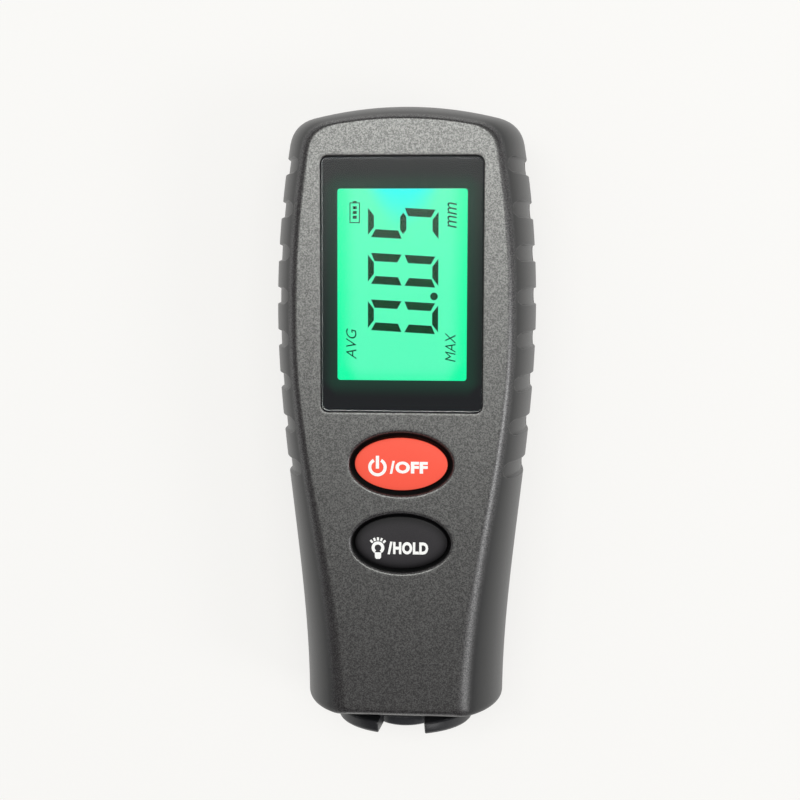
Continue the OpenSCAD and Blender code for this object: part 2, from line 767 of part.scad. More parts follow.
module rear_shell() {
    color(case_grey)
        difference() {
            union() {
                difference() {
                    rear_body(0);
                    difference() {
                        rear_grooves();
                        rear_body(groove_depth);
                    }
                    rear_cavity();
                }
                difference() {
                    rim(tongue_out, split_h - tongue_root, tongue_h + tongue_root);
                    rim(tongue_out + tongue_t, split_h - tongue_root - over,
                        tongue_h + tongue_root + 2 * over);
                }
                bay_block();
                for (p = case_screw_spots)
                    translate([p[0], p[1], wall - sink])
                        cylinder(r = boss_r, h = split_h - wall + sink);
            }
            bay_space();
            door_recess();
            for (p = case_screw_spots) {
                translate([p[0], p[1], -over])
                    cylinder(r = screw_head_r + head_gap, h = screw_seat + over);
                translate([p[0], p[1], 0])
                    cylinder(r = screw_r + screw_gap, h = split_h + over);
            }
            neck_hole();
            flange_seat();
        }
}

// Battery bay: a box open to the back, in a thick frame that carries the door
module bay_block() {
    block(2 * (bay_half_w + bay_wall), bay_l + 2 * bay_wall, bay_y, wall - sink,
        bay_ceiling_z + bay_wall - wall + sink);
    frame_low = door_low_y - door_gap - frame_margin;
    frame_high = hinge_y + barrel_r + door_gap + frame_margin;
    block(2 * (door_half_w + door_gap + pin_l + pin_seat), frame_high - frame_low,
        (frame_low + frame_high) / 2, wall - sink, frame_z - wall + sink);
}
module bay_space() {
    block(2 * bay_half_w, bay_l, bay_y, -over, bay_ceiling_z + over);
    for (s = [1, -1], x = [-cell_x, cell_x])
        block_at(x, tail_w + 2 * tail_gap, plate_t + 2 * tail_gap, bay_y + s * (bay_l - plate_t) / 2,
            bay_ceiling_z - over, bay_wall + 2 * over);
}
module block_at(x, w, l, y, z, t) {
    translate([x, 0, 0])
        block(w, l, y, z, t);
}
module door_recess() {
    l = hinge_y - door_low_y + door_gap;
    block(2 * (door_half_w + door_gap), l, door_low_y - door_gap + l / 2, -over, recess_z + over);
    block(2 * (door_half_w + door_gap), 2 * (barrel_r + door_gap), hinge_y, -over,
        hinge_z + barrel_r + door_gap + over);
    block(2 * (bay_half_w - latch_inset + 2 * latch_room), latch_t + 2 * latch_room, latch_y + latch_t / 2,
        -over, door_top_z + latch_h + latch_room + over);
    for (s = [1, -1])
        translate([s * (door_half_w + door_gap), hinge_y, hinge_z])
            rotate([0, s * 90, 0])
                translate([0, 0, -door_gap])
                    cylinder(r = pin_r + pin_gap, h = pin_l + pin_gap);
}
module battery_door() {
    l = hinge_y - door_low_y;
    color(case_grey) {
        difference() {
            union() {
                block(2 * door_half_w, l, door_low_y + l / 2, door_drop, door_t);
                translate([-door_half_w, hinge_y, hinge_z])
                    rotate([0, 90, 0])
                        cylinder(r = barrel_r, h = 2 * door_half_w);
                translate([-door_half_w - pin_l, hinge_y, hinge_z])
                    rotate([0, 90, 0])
                        cylinder(r = pin_r, h = 2 * (door_half_w + pin_l));
                block(2 * (bay_half_w - latch_inset), latch_t, latch_y + latch_t / 2, door_top_z - door_t / 2,
                    latch_h + door_t / 2);
            }
            for (i = [0:ridge_count - 1])
                block(ridge_l, ridge_w, door_low_y + ridge_from_end + i * ridge_pitch, door_drop - over,
                    over + ridge_depth);
        }
    }
}

// Display
module display_lens() {
    color("#dfe8ea", 0.35)
        plate_at(lens_w, lens_l, lens_r, display_y, lens_z, lens_t);
}
module border_film() {
    color("#141518")
        difference() {
            plate_at(lens_w, lens_l, lens_r, display_y, ledge_z, film_t);
            plate_at(window_w, window_l, window_r, display_y, ledge_z - over, film_t + 2 * over);
        }
}
module lcd_panel() {
    color("#5cf0b4")
        block(glass_w, glass_l, display_y, glass_z, glass_t);
}
module backlight_panel() {
    color("#e8f2ea")
        block(guide_w, guide_l, display_y, guide_z, guide_t);
}
module display_frame() {
    color("#e4e4e0")
        difference() {
            block(frame_w, frame_l, display_y, board_z, ceiling_z - board_z);
            block(glass_w + 2 * frame_gap, glass_l + 2 * frame_gap, display_y, glass_z,
                glass_t + over);
            block(guide_w + 2 * frame_gap, guide_l + 2 * frame_gap, display_y, guide_z,
                guide_t + over);
            for (s = [1, -1])
                block(strip_l + 2 * frame_gap, strip_t + 2 * frame_gap, display_y + s * strip_y,
                    board_z - over, glass_z - board_z + 2 * over);
        }
}
module zebra_strips() {
    color("#d9a8a0")
        for (s = [1, -1])
            block(strip_l, strip_t, display_y + s * strip_y, board_z, glass_z - board_z);
}

// Board
module circuit_board() {
    color("#2f6b45")
        difference() {
            translate([0, 0, board_low_z])
                linear_extrude(board_t)
                    polygon(whole_outline([
                        [0, board_low_y], [board_low_half_w, board_low_y],
                        [board_low_half_w, board_waist_y], [board_half_w, board_waist_y],
                        [board_half_w, board_step_y], [board_tongue_half_w, board_step_y],
                        [board_tongue_half_w, board_top_y], [0, board_top_y]
                    ]));
            for (p = board_screw_spots)
                translate([p[0], p[1], board_low_z - over])
                    cylinder(r = board_screw_r + board_screw_gap, h = board_t + 2 * over);
        }
}
parts_y = display_y - parts_from_display;
capacitor_count = 4;
module controller_chip() {
    color("#202124")
        block(chip_w, chip_w, parts_y, board_low_z - chip_h, chip_h);
}
module crystal_can() {
    color(steel)
        translate([chip_w / 2 + crystal_gap + crystal_r, parts_y - crystal_l / 2, board_low_z - crystal_r])
            rotate([-90, 0, 0])
                cylinder(r = crystal_r, h = crystal_l);
}
module capacitors() {
    color("#a98f6a")
        for (i = [0:capacitor_count - 1])
            translate([-chip_w / 2 - capacitor_gap - capacitor_w, parts_y - chip_w / 2 + i * capacitor_pitch,
                board_low_z - capacitor_h])
                cube([capacitor_w, capacitor_l, capacitor_h]);
}
module power_switch_body() {
    color("#1f2023")
        switch_body(power_y);
}
module power_switch_stem() {
    color("#e2e2dc")
        switch_stem(power_y);
}
module unit_switch_body() {
    color("#1f2023")
        switch_body(unit_y);
}
module unit_switch_stem() {
    color("#e2e2dc")
        switch_stem(unit_y);
}

// Keys
module power_button() {
    color("#f2553f")
        key(power_y);
}
module unit_button() {
    color("#28292c")
        key(unit_y);
}

// Probe: children are drawn along the axis, with z as the distance outward from the case
module along_probe() {
    translate([0, y_end, split_h])
        rotate([90, 0, 0])
            children();
}
module probe_collar() {
    color(dark_plastic)
        along_probe()
            difference() {
                rotate_extrude()
                    polygon([
                        [0, chamber_back], [barrel_out_r, chamber_back],
                        [barrel_out_r, flange_back], [inner_flange_r, flange_back],
                        [inner_flange_r, -wall], [neck_r, -wall], [neck_r, ring_back],
                        [collar_r - small_chamfer, ring_back], [collar_r, ring_back + small_chamfer],
                        [collar_r, ring_front - collar_chamfer], [collar_r - collar_chamfer, ring_front],
                        [0, ring_front]
                    ]);
                translate([0, 0, chamber_back - over])
                    cylinder(r = sleeve_r + sleeve_gap, h = ring_front - chamber_back + 2 * over);
                translate([0, 0, chamber_back - over])
                    cylinder(r = chamber_r, h = chamber_l + over);
                translate([0, 0, ring_front - collar_recess])
                    cylinder(r = collar_recess_r, h = collar_recess + over);
                for (a = [0, 180])
                    rotate([0, 0, a])
                        translate([0, 0, ring_back])
                            linear_extrude(collar_l + over)
                                polygon([
                                    [-notch_low_w, 0], [notch_low_w, 0], [notch_high_w, collar_r],
                                    [notch_high_w, collar_r + over], [-notch_high_w, collar_r + over],
                                    [-notch_high_w, collar_r]
                                ]);
            }
}
module probe_sleeve() {
    color("#3a3b40")
        along_probe()
            rotate_extrude()
                polygon([
                    [core_r, winding_front], [sleeve_in_r, winding_front],
                    [sleeve_in_r, guide_back - stop_t], [stop_r, guide_back - stop_t],
                    [stop_r, guide_back], [sleeve_r, guide_back], [sleeve_r, sleeve_front - small_chamfer],
                    [sleeve_r - small_chamfer, sleeve_front], [core_r, sleeve_front]
                ]);
}
module probe_core() {
    dome = sleeve_back;
    dome_r = (core_r * core_r + dome * dome) / (2 * dome);
    color(steel)
        along_probe()
            rotate_extrude()
                polygon(concat(
                    [[0, winding_back], [core_r, winding_back], [core_r, sleeve_front]],
                    [for (i = [1:7])
                        let (x = core_r * (1 - i / 8))
                        [x, probe_reach - dome_r + sqrt(dome_r * dome_r - x * x)]],
                    [[0, probe_reach]]
                ));
}
module probe_coil() {
    color("#a5582c")
        along_probe()
            translate([0, 0, winding_back])
                difference() {
                    cylinder(r = winding_r, h = winding_front - winding_back);
                    translate([0, 0, -over])
                        cylinder(r = core_r, h = winding_front - winding_back + 2 * over);
                }
}
module probe_cap() {
    color(dark_plastic)
        along_probe()
            translate([0, 0, chamber_back - cap_t])
                difference() {
                    cylinder(r = barrel_out_r, h = cap_t);
                    translate([0, 0, -over])
                        cylinder(r = lead_hole_r, h = cap_t + 2 * over);
                }
}

// Coil spring with closed ends between two flat seats, along z from 0
wire_sides = 8;
turn_steps = 14;
closed_turns = 0.6;
module coil_spring(coil_r, wire_r, l, turns) {
    flat = wire_r * cos(180 / wire_sides);
    steps = turns * turn_steps;
    rings = [for (i = [0:steps])
        let (
            turn = i / turn_steps,
            climb = min(max((turn - closed_turns) / (turns - 2 * closed_turns), 0), 1),
            z = flat + (l - 2 * flat) * climb,
            a = 360 * turn
        )
        [for (k = [0:wire_sides - 1])
            let (b = -360 * (k + 0.5) / wire_sides, r = coil_r + wire_r * cos(b))
            [r * cos(a), r * sin(a), z + wire_r * sin(b)]]];
    tube(rings);
}
module tube(rings) {
    n = len(rings[0]);
    last = (len(rings) - 1) * n;
    skin = [for (l = [0:len(rings) - 2], i = [0:n - 1], k = [0, 1])
        let (j = (i + 1) % n, a = l * n + i, b = l * n + j, c = b + n, d = a + n)
        k == 0 ? [a, c, b] : [a, d, c]];
    polyhedron(
        [for (r = rings) each r],
        concat(skin, [[for (i = [0:n - 1]) i]], [[for (i = [n - 1:-1:0]) last + i]])
    );
}
module probe_spring() {
    color(steel)
        along_probe()
            translate([0, 0, chamber_back])
                coil_spring(spring_coil_r, spring_wire_r, chamber_l - stop_t, spring_turns);
}

// Lead from the cap to the connector on the board, in the middle plane
lead_start = [0, y_end - chamber_back + cap_t, split_h];
lead_end = [0, connector_y - connector_l / 2, board_z + connector_h / 2];
lead_room = 0.5;
lead_turn = [0, bay_low_y - bay_wall - lead_r - lead_room, (lead_start[2] + lead_end[2]) / 2];
lead_steps = 10;
function lead_point(t) = t < 0.5
    ? bend(lead_start, [0, lead_turn[1], lead_start[2]], lead_turn, 2 * t)
    : bend(lead_turn, [0, lead_turn[1], lead_end[2]], lead_end, 2 * t - 1);
module probe_lead() {
    step = 0.01;
    rings = [for (i = [0:lead_steps])
        let (
            t = i / lead_steps,
            p = lead_point(t),
            way = i == 0 || i == lead_steps ? [0, 1, 0]
                : lead_point(t + step) - lead_point(t - step),
            side = cross(way / norm(way), [1, 0, 0])
        )
        [for (k = [0:wire_sides - 1])
            let (a = 360 * k / wire_sides)
            p + lead_r * cos(a) * [1, 0, 0] + lead_r * sin(a) * side]];
    color("#8a2f2a")
        tube(rings);
}
module probe_connector() {
    color("#ece8dc")
        block(connector_w, connector_l, connector_y, board_z, connector_h);
}

// Cells and contacts: the cells lie side by side and point opposite ways
module cell(s) {
    translate([s * cell_x, bay_y - s * (bay_l / 2 - plate_t), cell_z])
        rotate([-90 * s, 0, 0])
            translate([0, 0, contact_l]) {
                cylinder(r = cell_r, h = cell_l - nub_l);
                translate([0, 0, cell_l - nub_l])
                    cylinder(r = nub_r, h = nub_l);
            }
}
module battery_left() {
    color("#3f5f86")
        cell(-1);
}
module battery_right() {
    color("#3f5f86")
        cell(1);
}
module battery_springs() {
    color(steel)
        for (s = [1, -1])
            translate([s * cell_x, bay_y - s * (bay_l / 2 - plate_t), cell_z])
                rotate([-90 * s, 0, 0])
                    coil_spring(contact_coil_r, contact_wire_r, contact_l, contact_turns);
}
module battery_plates() {
    plate_low_z = cell_z - plate_w / 2;
    color(brass)
        for (s = [1, -1], x = [-cell_x, cell_x]) {
            y = bay_y + s * (bay_l - plate_t) / 2;
            block_at(x, plate_w, plate_t, y, plate_low_z, plate_w);
            block_at(x, tail_w, plate_t, y, plate_low_z, board_low_z - plate_low_z);
        }
}

// Fasteners
module case_screws() {
    color(steel)
        for (p = case_screw_spots)
            translate([p[0], p[1], screw_seat - screw_head_h]) {
                difference() {
                    cylinder(r = screw_head_r, h = screw_head_h);
                    for (a = [0, 90])
                        rotate([0, 0, a])
                            block(cross_l, cross_w, 0, -over, over + cross_depth);
                }
                cylinder(r = screw_r, h = split_h + screw_bite - screw_seat + screw_head_h);
            }
}
module board_screws() {
    color(steel)
        for (p = board_screw_spots)
            translate([p[0], p[1], board_low_z - board_head_h]) {
                difference() {
                    cylinder(r = board_head_r, h = board_head_h);
                    for (a = [0, 90])
                        rotate([0, 0, a])
                            block(cross_l, cross_w, 0, -over, over + cross_depth);
                }
                translate([0, 0, cross_depth])
                    cylinder(r = board_screw_r, h = board_head_h - cross_depth + board_t + board_screw_bite);
            }
}

front_shell();
rear_shell();
battery_door();
display_lens();
border_film();
lcd_panel();
backlight_panel();
display_frame();
zebra_strips();
circuit_board();
controller_chip();
crystal_can();
capacitors();
power_button();
unit_button();
power_switch_body();
power_switch_stem();
unit_switch_body();
unit_switch_stem();
probe_collar();
probe_sleeve();
probe_core();
probe_coil();
probe_spring();
probe_cap();
probe_lead();
probe_connector();
battery_left();
battery_right();
battery_springs();
battery_plates();
case_screws();
board_screws();
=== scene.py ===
"""Looks of a coating thickness gauge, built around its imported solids.

Sizes are in millimetres, in the frame of the solids: the back rests on z = 0, the display end
points to +Y and the probe to -Y. Meshes are written in metres.
"""

from __future__ import annotations

import json
import logging
import math
from dataclasses import dataclass, field
from enum import Enum
from typing import Any, Callable, Sequence, Union

import bmesh
import bpy
import numpy as np
from bpy.types import ID, Material, Mesh, Node, NodeSocket, Object, World
from mathutils import Matrix, Vector
from mathutils.geometry import tessellate_polygon

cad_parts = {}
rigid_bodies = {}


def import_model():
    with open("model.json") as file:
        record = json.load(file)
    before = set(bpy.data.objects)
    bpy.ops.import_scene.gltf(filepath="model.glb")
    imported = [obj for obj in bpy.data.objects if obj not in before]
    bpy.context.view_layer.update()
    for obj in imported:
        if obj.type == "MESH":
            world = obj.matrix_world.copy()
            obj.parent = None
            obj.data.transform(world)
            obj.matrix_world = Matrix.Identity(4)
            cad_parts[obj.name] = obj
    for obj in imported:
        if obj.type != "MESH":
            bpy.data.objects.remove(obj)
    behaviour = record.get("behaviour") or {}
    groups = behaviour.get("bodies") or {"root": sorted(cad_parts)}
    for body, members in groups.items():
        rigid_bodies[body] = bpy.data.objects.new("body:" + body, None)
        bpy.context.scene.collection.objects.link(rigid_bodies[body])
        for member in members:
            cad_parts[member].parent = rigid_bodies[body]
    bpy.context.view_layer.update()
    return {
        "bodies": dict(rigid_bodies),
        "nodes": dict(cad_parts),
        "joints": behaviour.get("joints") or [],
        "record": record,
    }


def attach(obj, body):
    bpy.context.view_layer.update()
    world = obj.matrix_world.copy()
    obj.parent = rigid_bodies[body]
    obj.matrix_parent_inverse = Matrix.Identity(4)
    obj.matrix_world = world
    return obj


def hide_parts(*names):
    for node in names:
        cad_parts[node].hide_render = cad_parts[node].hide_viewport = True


LOG = logging.getLogger("gauge")
MM = 0.001
MERGE = 1e-7
SLIVER = 1e-8
SHARP = 40.0
Colour = tuple[float, float, float, float]
Point = Sequence[float]
Pair = tuple[float, float]
Triple = tuple[float, float, float]
Span = tuple[float, float, int]
Materials = dict[str, Material]
Surface = Callable[[float, float], float]


class Body(str, Enum):
    """Bodies that the pieces ride on."""

    HOUSING = "housing"
    POWER_KEY = "power_key"
    UNIT_KEY = "unit_key"
    PROBE = "probe"
    DOOR = "door"


def tint(red: float, green: float, blue: float) -> Colour:
    """Linear colour from screen values of 0 to 255.

    Args:
        red: Red on the screen.
        green: Green on the screen.
        blue: Blue on the screen.

    Returns:
        The linear colour with full opacity.
    """

    def linear(value: float) -> float:
        """Linear light of one screen value."""
        share = value / 255
        return share / 12.92 if share <= 0.04045 else ((share + 0.055) / 1.055) ** 2.4

    return linear(red), linear(green), linear(blue), 1.0


def smooth(low: float, high: float, value: np.ndarray) -> np.ndarray:
    """Smooth step from 0 at low to 1 at high."""
    share = np.clip((value - low) / (high - low), 0, 1)
    return share * share * (3 - 2 * share)


class Signal:
    """A shader socket that takes part in Python arithmetic."""

    def __init__(self, graph: Graph, socket: NodeSocket) -> None:
        """Wraps a socket of a graph's node."""
        self.graph = graph
        self.socket = socket

    def _math(self, operation: str, first: Term, second: Term) -> Signal:
        """Result of a Math node."""
        return self.graph.signal("ShaderNodeMath", 0, {0: first, 1: second}, {"operation": operation})

    def __add__(self, other: Term) -> Signal:
        """This plus other."""
        return self._math("ADD", self, other)

    __radd__ = __add__

    def __sub__(self, other: Term) -> Signal:
        """This minus other."""
        return self._math("SUBTRACT", self, other)

    def __rsub__(self, other: Term) -> Signal:
        """Other minus this."""
        return self._math("SUBTRACT", other, self)

    def __mul__(self, other: Term) -> Signal:
        """This times other."""
        return self._math("MULTIPLY", self, other)

    __rmul__ = __mul__

    def __truediv__(self, other: Term) -> Signal:
        """This over other."""
        return self._math("DIVIDE", self, other)

    def size(self) -> Signal:
        """This without its sign."""
        return self._math("ABSOLUTE", self, 0.0)

    def ramp(self, low: float, high: float) -> Signal:
        """Smooth step from 0 where this is low to 1 where it is high."""
        inputs = {0: self, 1: low, 2: high}
        return self.graph.signal("ShaderNodeMapRange", 0, inputs, {"interpolation_type": "SMOOTHSTEP"})


Term = Union[Signal, float]
Shade = Union[Signal, Colour]


class Graph:
    """Node tree of a material or of the surroundings."""

    def __init__(self, name: str, surroundings: bool = False) -> None:
        """Starts a tree with an output alone.

        Args:
            name: Name of the material or the world.
            surroundings: Whether the tree belongs to a world.
        """
        self.owner = (bpy.data.worlds if surroundings else bpy.data.materials).new(name)
        self.owner.use_nodes = True
        self.tree = self.owner.node_tree
        self.tree.nodes.clear()
        self.output = self.add("ShaderNodeOutputWorld" if surroundings else "ShaderNodeOutputMaterial")

    def add(self, kind: str, inputs: dict | None = None, settings: dict | None = None) -> Node:
        """Adds a node.

        Args:
            kind: Blender's name of the node's type.
            inputs: Values or signals of its sockets, by name or number.
            settings: Attributes of the node, set before its sockets.

        Returns:
            The node.
        """
        node = self.tree.nodes.new(kind)
        for key, value in (settings or {}).items():
            setattr(node, key, value)
        for key, value in (inputs or {}).items():
            if isinstance(value, Signal):
                self.tree.links.new(value.socket, node.inputs[key])
            else:
                node.inputs[key].default_value = value
        return node

    def signal(
        self, kind: str, output: int | str, inputs: dict | None = None, settings: dict | None = None
    ) -> Signal:
        """One output, by name or number, of a node that is added for it."""
        return Signal(self, self.add(kind, inputs, settings).outputs[output])

    def place(self) -> Signal:
        """Object coordinates, in metres."""
        return self.signal("ShaderNodeTexCoord", "Object")

    def axes(self) -> tuple[Signal, Signal, Signal]:
        """Object coordinates, one signal for each axis, in metres."""
        node = self.add("ShaderNodeSeparateXYZ", {0: self.place()})
        return tuple(Signal(self, socket) for socket in node.outputs)

    def noise(self, grain: float, detail: float = 2.0, stretch: Point = (1, 1, 1)) -> Signal:
        """Noise of about 0 to 1.

        Args:
            grain: Size of its spots in millimetres.
            detail: Octaves of finer spots.
            stretch: Scale of the pattern along each axis.

        Returns:
            The noise.
        """
        mapped = self.signal("ShaderNodeMapping", 0, {"Vector": self.place(), "Scale": stretch})
        inputs = {"Vector": mapped, "Scale": 1 / (grain * MM), "Detail": detail}
        return self.signal("ShaderNodeTexNoise", 0, inputs)

    def mix(self, share: Term, first: Shade, second: Shade) -> Signal:
        """Colour between two, at a share of the way from the first."""
        inputs = {0: share, 6: first, 7: second}
        return self.signal("ShaderNodeMix", 2, inputs, {"data_type": "RGBA"})

    def relief(self, height: Signal, depth: float) -> Signal:
        """Normal of a surface whose height varies by depth in millimetres."""
        return self.signal("ShaderNodeBump", 0, {"Height": height, "Distance": depth * MM})

    def seen_directly(self) -> Signal:
        """Tells rays that end in the picture from those that only carry light.

        Returns:
            1 for rays from the camera and for those that gloss and glass pass on, 0 for the rest.
        """
        path = self.add("ShaderNodeLightPath")
        names = ("Is Camera Ray", "Is Glossy Ray", "Is Transmission Ray")
        first, second, third = (Signal(self, path.outputs[n]) for n in names)
        return (first + second + third).ramp(0.0, 0.5)

    def blend(self, share: Term, first: Node, second: Node) -> Node:
        """Shader between two, at a share of the way from the first."""
        one, two = (Signal(self, node.outputs[0]) for node in (first, second))
        return self.add("ShaderNodeMixShader", {0: share, 1: one, 2: two})

    def close(self, node: Node) -> Union[Material, World]:
        """Ends the tree in a node and gives what the tree belongs to."""
        self.tree.links.new(node.outputs[0], self.output.inputs[0])
        return self.owner

    def surface(self, **inputs: Union[Term, Shade]) -> Material:
        """Ends the tree in a Principled shader, whose sockets are named with _ for a space."""
        named = {key.replace("_", " "): value for key, value in inputs.items()}
        return self.close(self.add("ShaderNodeBsdfPrincipled", named))


class Finish:
    """Base of the finishes, each of which makes one material."""

    def make(self) -> Material:
        """The material."""
        raise NotImplementedError


@dataclass(frozen=True)
class CaseGrain(Finish):
    """Moulded plastic: a sparkling grain on the flat face and a finer one on the sides."""

    name: str = "case_plastic"
    dark: Colour = tint(9, 7, 9)
    pale: Colour = tint(50, 48, 48)
    side: Colour = tint(26, 27, 28)
    face_from: float = 25.7
    face_to: float = 26.95

    def make(self) -> Material:
        """Mixes the face's grain and the sides' one by height.

        Returns:
            The material.
        """
        graph = Graph(self.name)
        _, _, height = graph.axes()
        face = height.ramp(self.face_from * MM, self.face_to * MM)
        coarse = graph.noise(0.24, 3.0)
        fine = graph.noise(0.12, 2.0)
        cloud = graph.noise(9.0, 3.0)
        grain = coarse * 0.7 + fine * 0.3
        fleck = grain.ramp(0.39, 0.64)
        grained = graph.mix(fleck * (cloud * 0.4 + 0.6), self.dark, self.pale)
        smoother = graph.mix(fine.ramp(0.3, 0.8) * 0.25, self.side, self.pale)
        bumps = grain * face + fine * (1 - face) * 0.3
        return graph.surface(
            Base_Color=graph.mix(face, smoother, grained),
            Roughness=0.38 + (fine - 0.5) * 0.12,
            Normal=graph.relief(bumps, 0.035),
            Specular_IOR_Level=0.6,
            Coat_Weight=face * (0.3 + fleck * 0.65),
            Coat_Roughness=0.4,
            Coat_IOR=2.6,
        )


@dataclass(frozen=True)
class MouldedPlastic(Finish):
    """Moulded plastic of one colour, with a fine grain and faint clouding, and on the keys a painted shade
    low on the skirt.
    """

    name: str
    colour: Colour
    light: Colour
    roughness: float = 0.45
    grain: float = 0.2
    depth: float = 0.012
    gloss: float = 0.5
    # painted shade: a darker colour painted low on a key, where the dish round it shades it
    painted_skirt_shade: Colour = tint(0, 0, 0)
    painted_shade_heights: Pair | None = None

    def make(self) -> Material:
        """Mixes the two tones; a painted shade, where there is one, darkens the key low down and gives way to
        them between two heights.

        Returns:
            The material.
        """
        graph = Graph(self.name)
        fine = graph.noise(self.grain, 2.0)
        cloud = graph.noise(self.grain * 24, 3.0)
        colour = graph.mix(fine.ramp(0.35, 0.75) * 0.3 + cloud * 0.2, self.colour, self.light)
        # painted shade: the key darkens below these heights, standing in for the dish's shadow
        if self.painted_shade_heights:
            low, high = self.painted_shade_heights
            colour = graph.mix(graph.axes()[2].ramp(low * MM, high * MM), self.painted_skirt_shade, colour)
        return graph.surface(
            Base_Color=colour,
            Roughness=self.roughness + (cloud - 0.5) * 0.16,
            Normal=graph.relief(fine, self.depth),
            Specular_IOR_Level=self.gloss,
        )


@dataclass(frozen=True)
class DrawnMetal(Finish):
    """Metal with faint drawing marks along one axis."""

    name: str
    colour: Colour
    worn: Colour
    roughness: float = 0.28
    along: Point = (1, 0.08, 1)

    def make(self) -> Material:
        """Mixes bright and worn metal under the drawing marks.

        Returns:
            The material.
        """
        graph = Graph(self.name)
        marks = graph.noise(0.12, 3.0, self.along)
        stain = graph.noise(2.5, 3.0)
        return graph.surface(
            Base_Color=graph.mix(stain.ramp(0.45, 0.8), self.colour, self.worn),
            Metallic=1.0,
            Roughness=self.roughness + (marks - 0.5) * 0.2,
            Normal=graph.relief(marks, 0.004),
        )


@dataclass(frozen=True)
class ClearLens(Finish):
    """Clear moulded acrylic."""

    name: str = "lens_clear"
    colour: Colour = tint(250, 252, 252)
    ior: float = 1.24

    def make(self) -> Material:
        """Sets clear acrylic with a faint haze.

        Returns:
            The material.
        """
        graph = Graph(self.name)
        haze = graph.noise(14.0, 2.0)
        return graph.surface(
            Base_Color=self.colour,
            Roughness=0.08 + haze.ramp(0.4, 0.9) * 0.02,
            Transmission_Weight=1.0,
            IOR=self.ior,
        )


@dataclass(frozen=True)
class Window:
    """Window of the border over the display's glass, in the middle of the width."""

    y: float
    half_w: float
    half_l: float


@dataclass(frozen=True)
class LitPanel(Finish):
    """Back-lit display glass: even mint light, greener at its edges, bluer at the lamp's end."""

    name: str
    window: Window
    glass: Colour = tint(20, 60, 44)
    mint: Colour = tint(93, 255, 191)
    edge: Colour = tint(24, 255, 170)
    lamp: Colour = tint(0, 250, 236)

    def make(self) -> Material:
        """Mixes the glow from its middle, edge and lamp tones.

        Returns:
            The material.
        """
        graph = Graph(self.name)
        x, y, _ = graph.axes()
        across = (x / (self.window.half_w * MM)).size()
        along = (y - self.window.y * MM) / (self.window.half_l * MM)
        drift = graph.noise(7.0, 2.0)
        rim = across.ramp(0.62, 1.04) * 0.9 + (0 - along).ramp(0.8, 1.05) * 0.6
        lamp = (along - across * across * 1.1 + (drift - 0.5) * 0.15).ramp(0.56, 0.97)
        base = graph.mix(rim.ramp(0.0, 1.0), self.mint, self.edge)
        return graph.surface(
            Base_Color=self.glass,
            Roughness=0.35 + drift * 0.1,
            Specular_IOR_Level=0.0,
            Emission_Color=graph.mix(lamp, base, self.lamp),
            Emission_Strength=1.0,
        )


@dataclass(frozen=True)
class BorderFilm(Finish):
    """Black film round the display, with a painted glow all over it that stands in for the light the lens
    keeps from it, greener near its window, where a little of the panel's light does leak through.
    """

    name: str
    window: Window
    black: Colour = tint(31, 33, 35)
    leak_and_painted_glow: Colour = tint(37, 62, 52)
    # far: the film's tone away from the window, which is also the colour of its painted glow there
    far: Colour = tint(36, 37, 39)
    reach: float = 3.2

    def make(self) -> Material:
        """Sets glossy black film with a painted glow: the real leak of the panel's light near the window,
        fading to a dim painted glow further away.

        Returns:
            The material.
        """
        graph, reach, window = Graph(self.name), self.reach, self.window
        x, y, _ = graph.axes()
        across = x.size().ramp(window.half_w * MM, (window.half_w + reach) * MM)
        along = (y - window.y * MM).size().ramp(window.half_l * MM, (window.half_l + reach) * MM)
        fine = graph.noise(0.4, 2.0)
        return graph.surface(
            Base_Color=graph.mix(fine * 0.4, self.black, self.far),
            Roughness=0.36 + fine * 0.1,
            Specular_IOR_Level=1.0,
            IOR=1.7,
            # painted light: the film glows everywhere, greener near the window, where the panel's light
            # really leaks
            Emission_Color=graph.mix(across + along, self.leak_and_painted_glow, self.far),
            Emission_Strength=0.9,
        )


@dataclass(frozen=True)
class PrintedInk(Finish):
    """Printed ink with an uneven edge to its cover."""

    name: str
    colour: Colour
    thin: Colour
    roughness: float = 0.55
    gloss: float = 0.5

    def make(self) -> Material:
        """Mixes full and thin cover.

        Returns:
            The material.
        """
        graph = Graph(self.name)
        cover = graph.noise(0.25, 3.0)
        return graph.surface(
            Base_Color=graph.mix(cover.ramp(0.55, 0.9), self.colour, self.thin),
            Roughness=self.roughness + (cover - 0.5) * 0.2,
            Normal=graph.relief(cover, 0.006),
            Specular_IOR_Level=self.gloss,
        )


@dataclass(frozen=True)
class CircuitLaminate(Finish):
    """Solder-masked board with faint tracks under the mask."""

    name: str = "board_laminate"
    mask: Colour = tint(24, 84, 50)
    track: Colour = tint(58, 128, 74)

    def make(self) -> Material:
        """Mixes bare mask and mask over tracks.

        Returns:
            The material.
        """
        graph = Graph(self.name)
        weave = graph.noise(0.3, 2.0)
        tracks = graph.noise(1.6, 0.0, (1, 0.2, 1)).ramp(0.5, 0.54)
        return graph.surface(
            Base_Color=graph.mix(tracks * 0.7, self.mask, self.track),
            Roughness=0.32 + weave * 0.12,
            Normal=graph.relief(tracks + weave * 0.2, 0.03),
        )


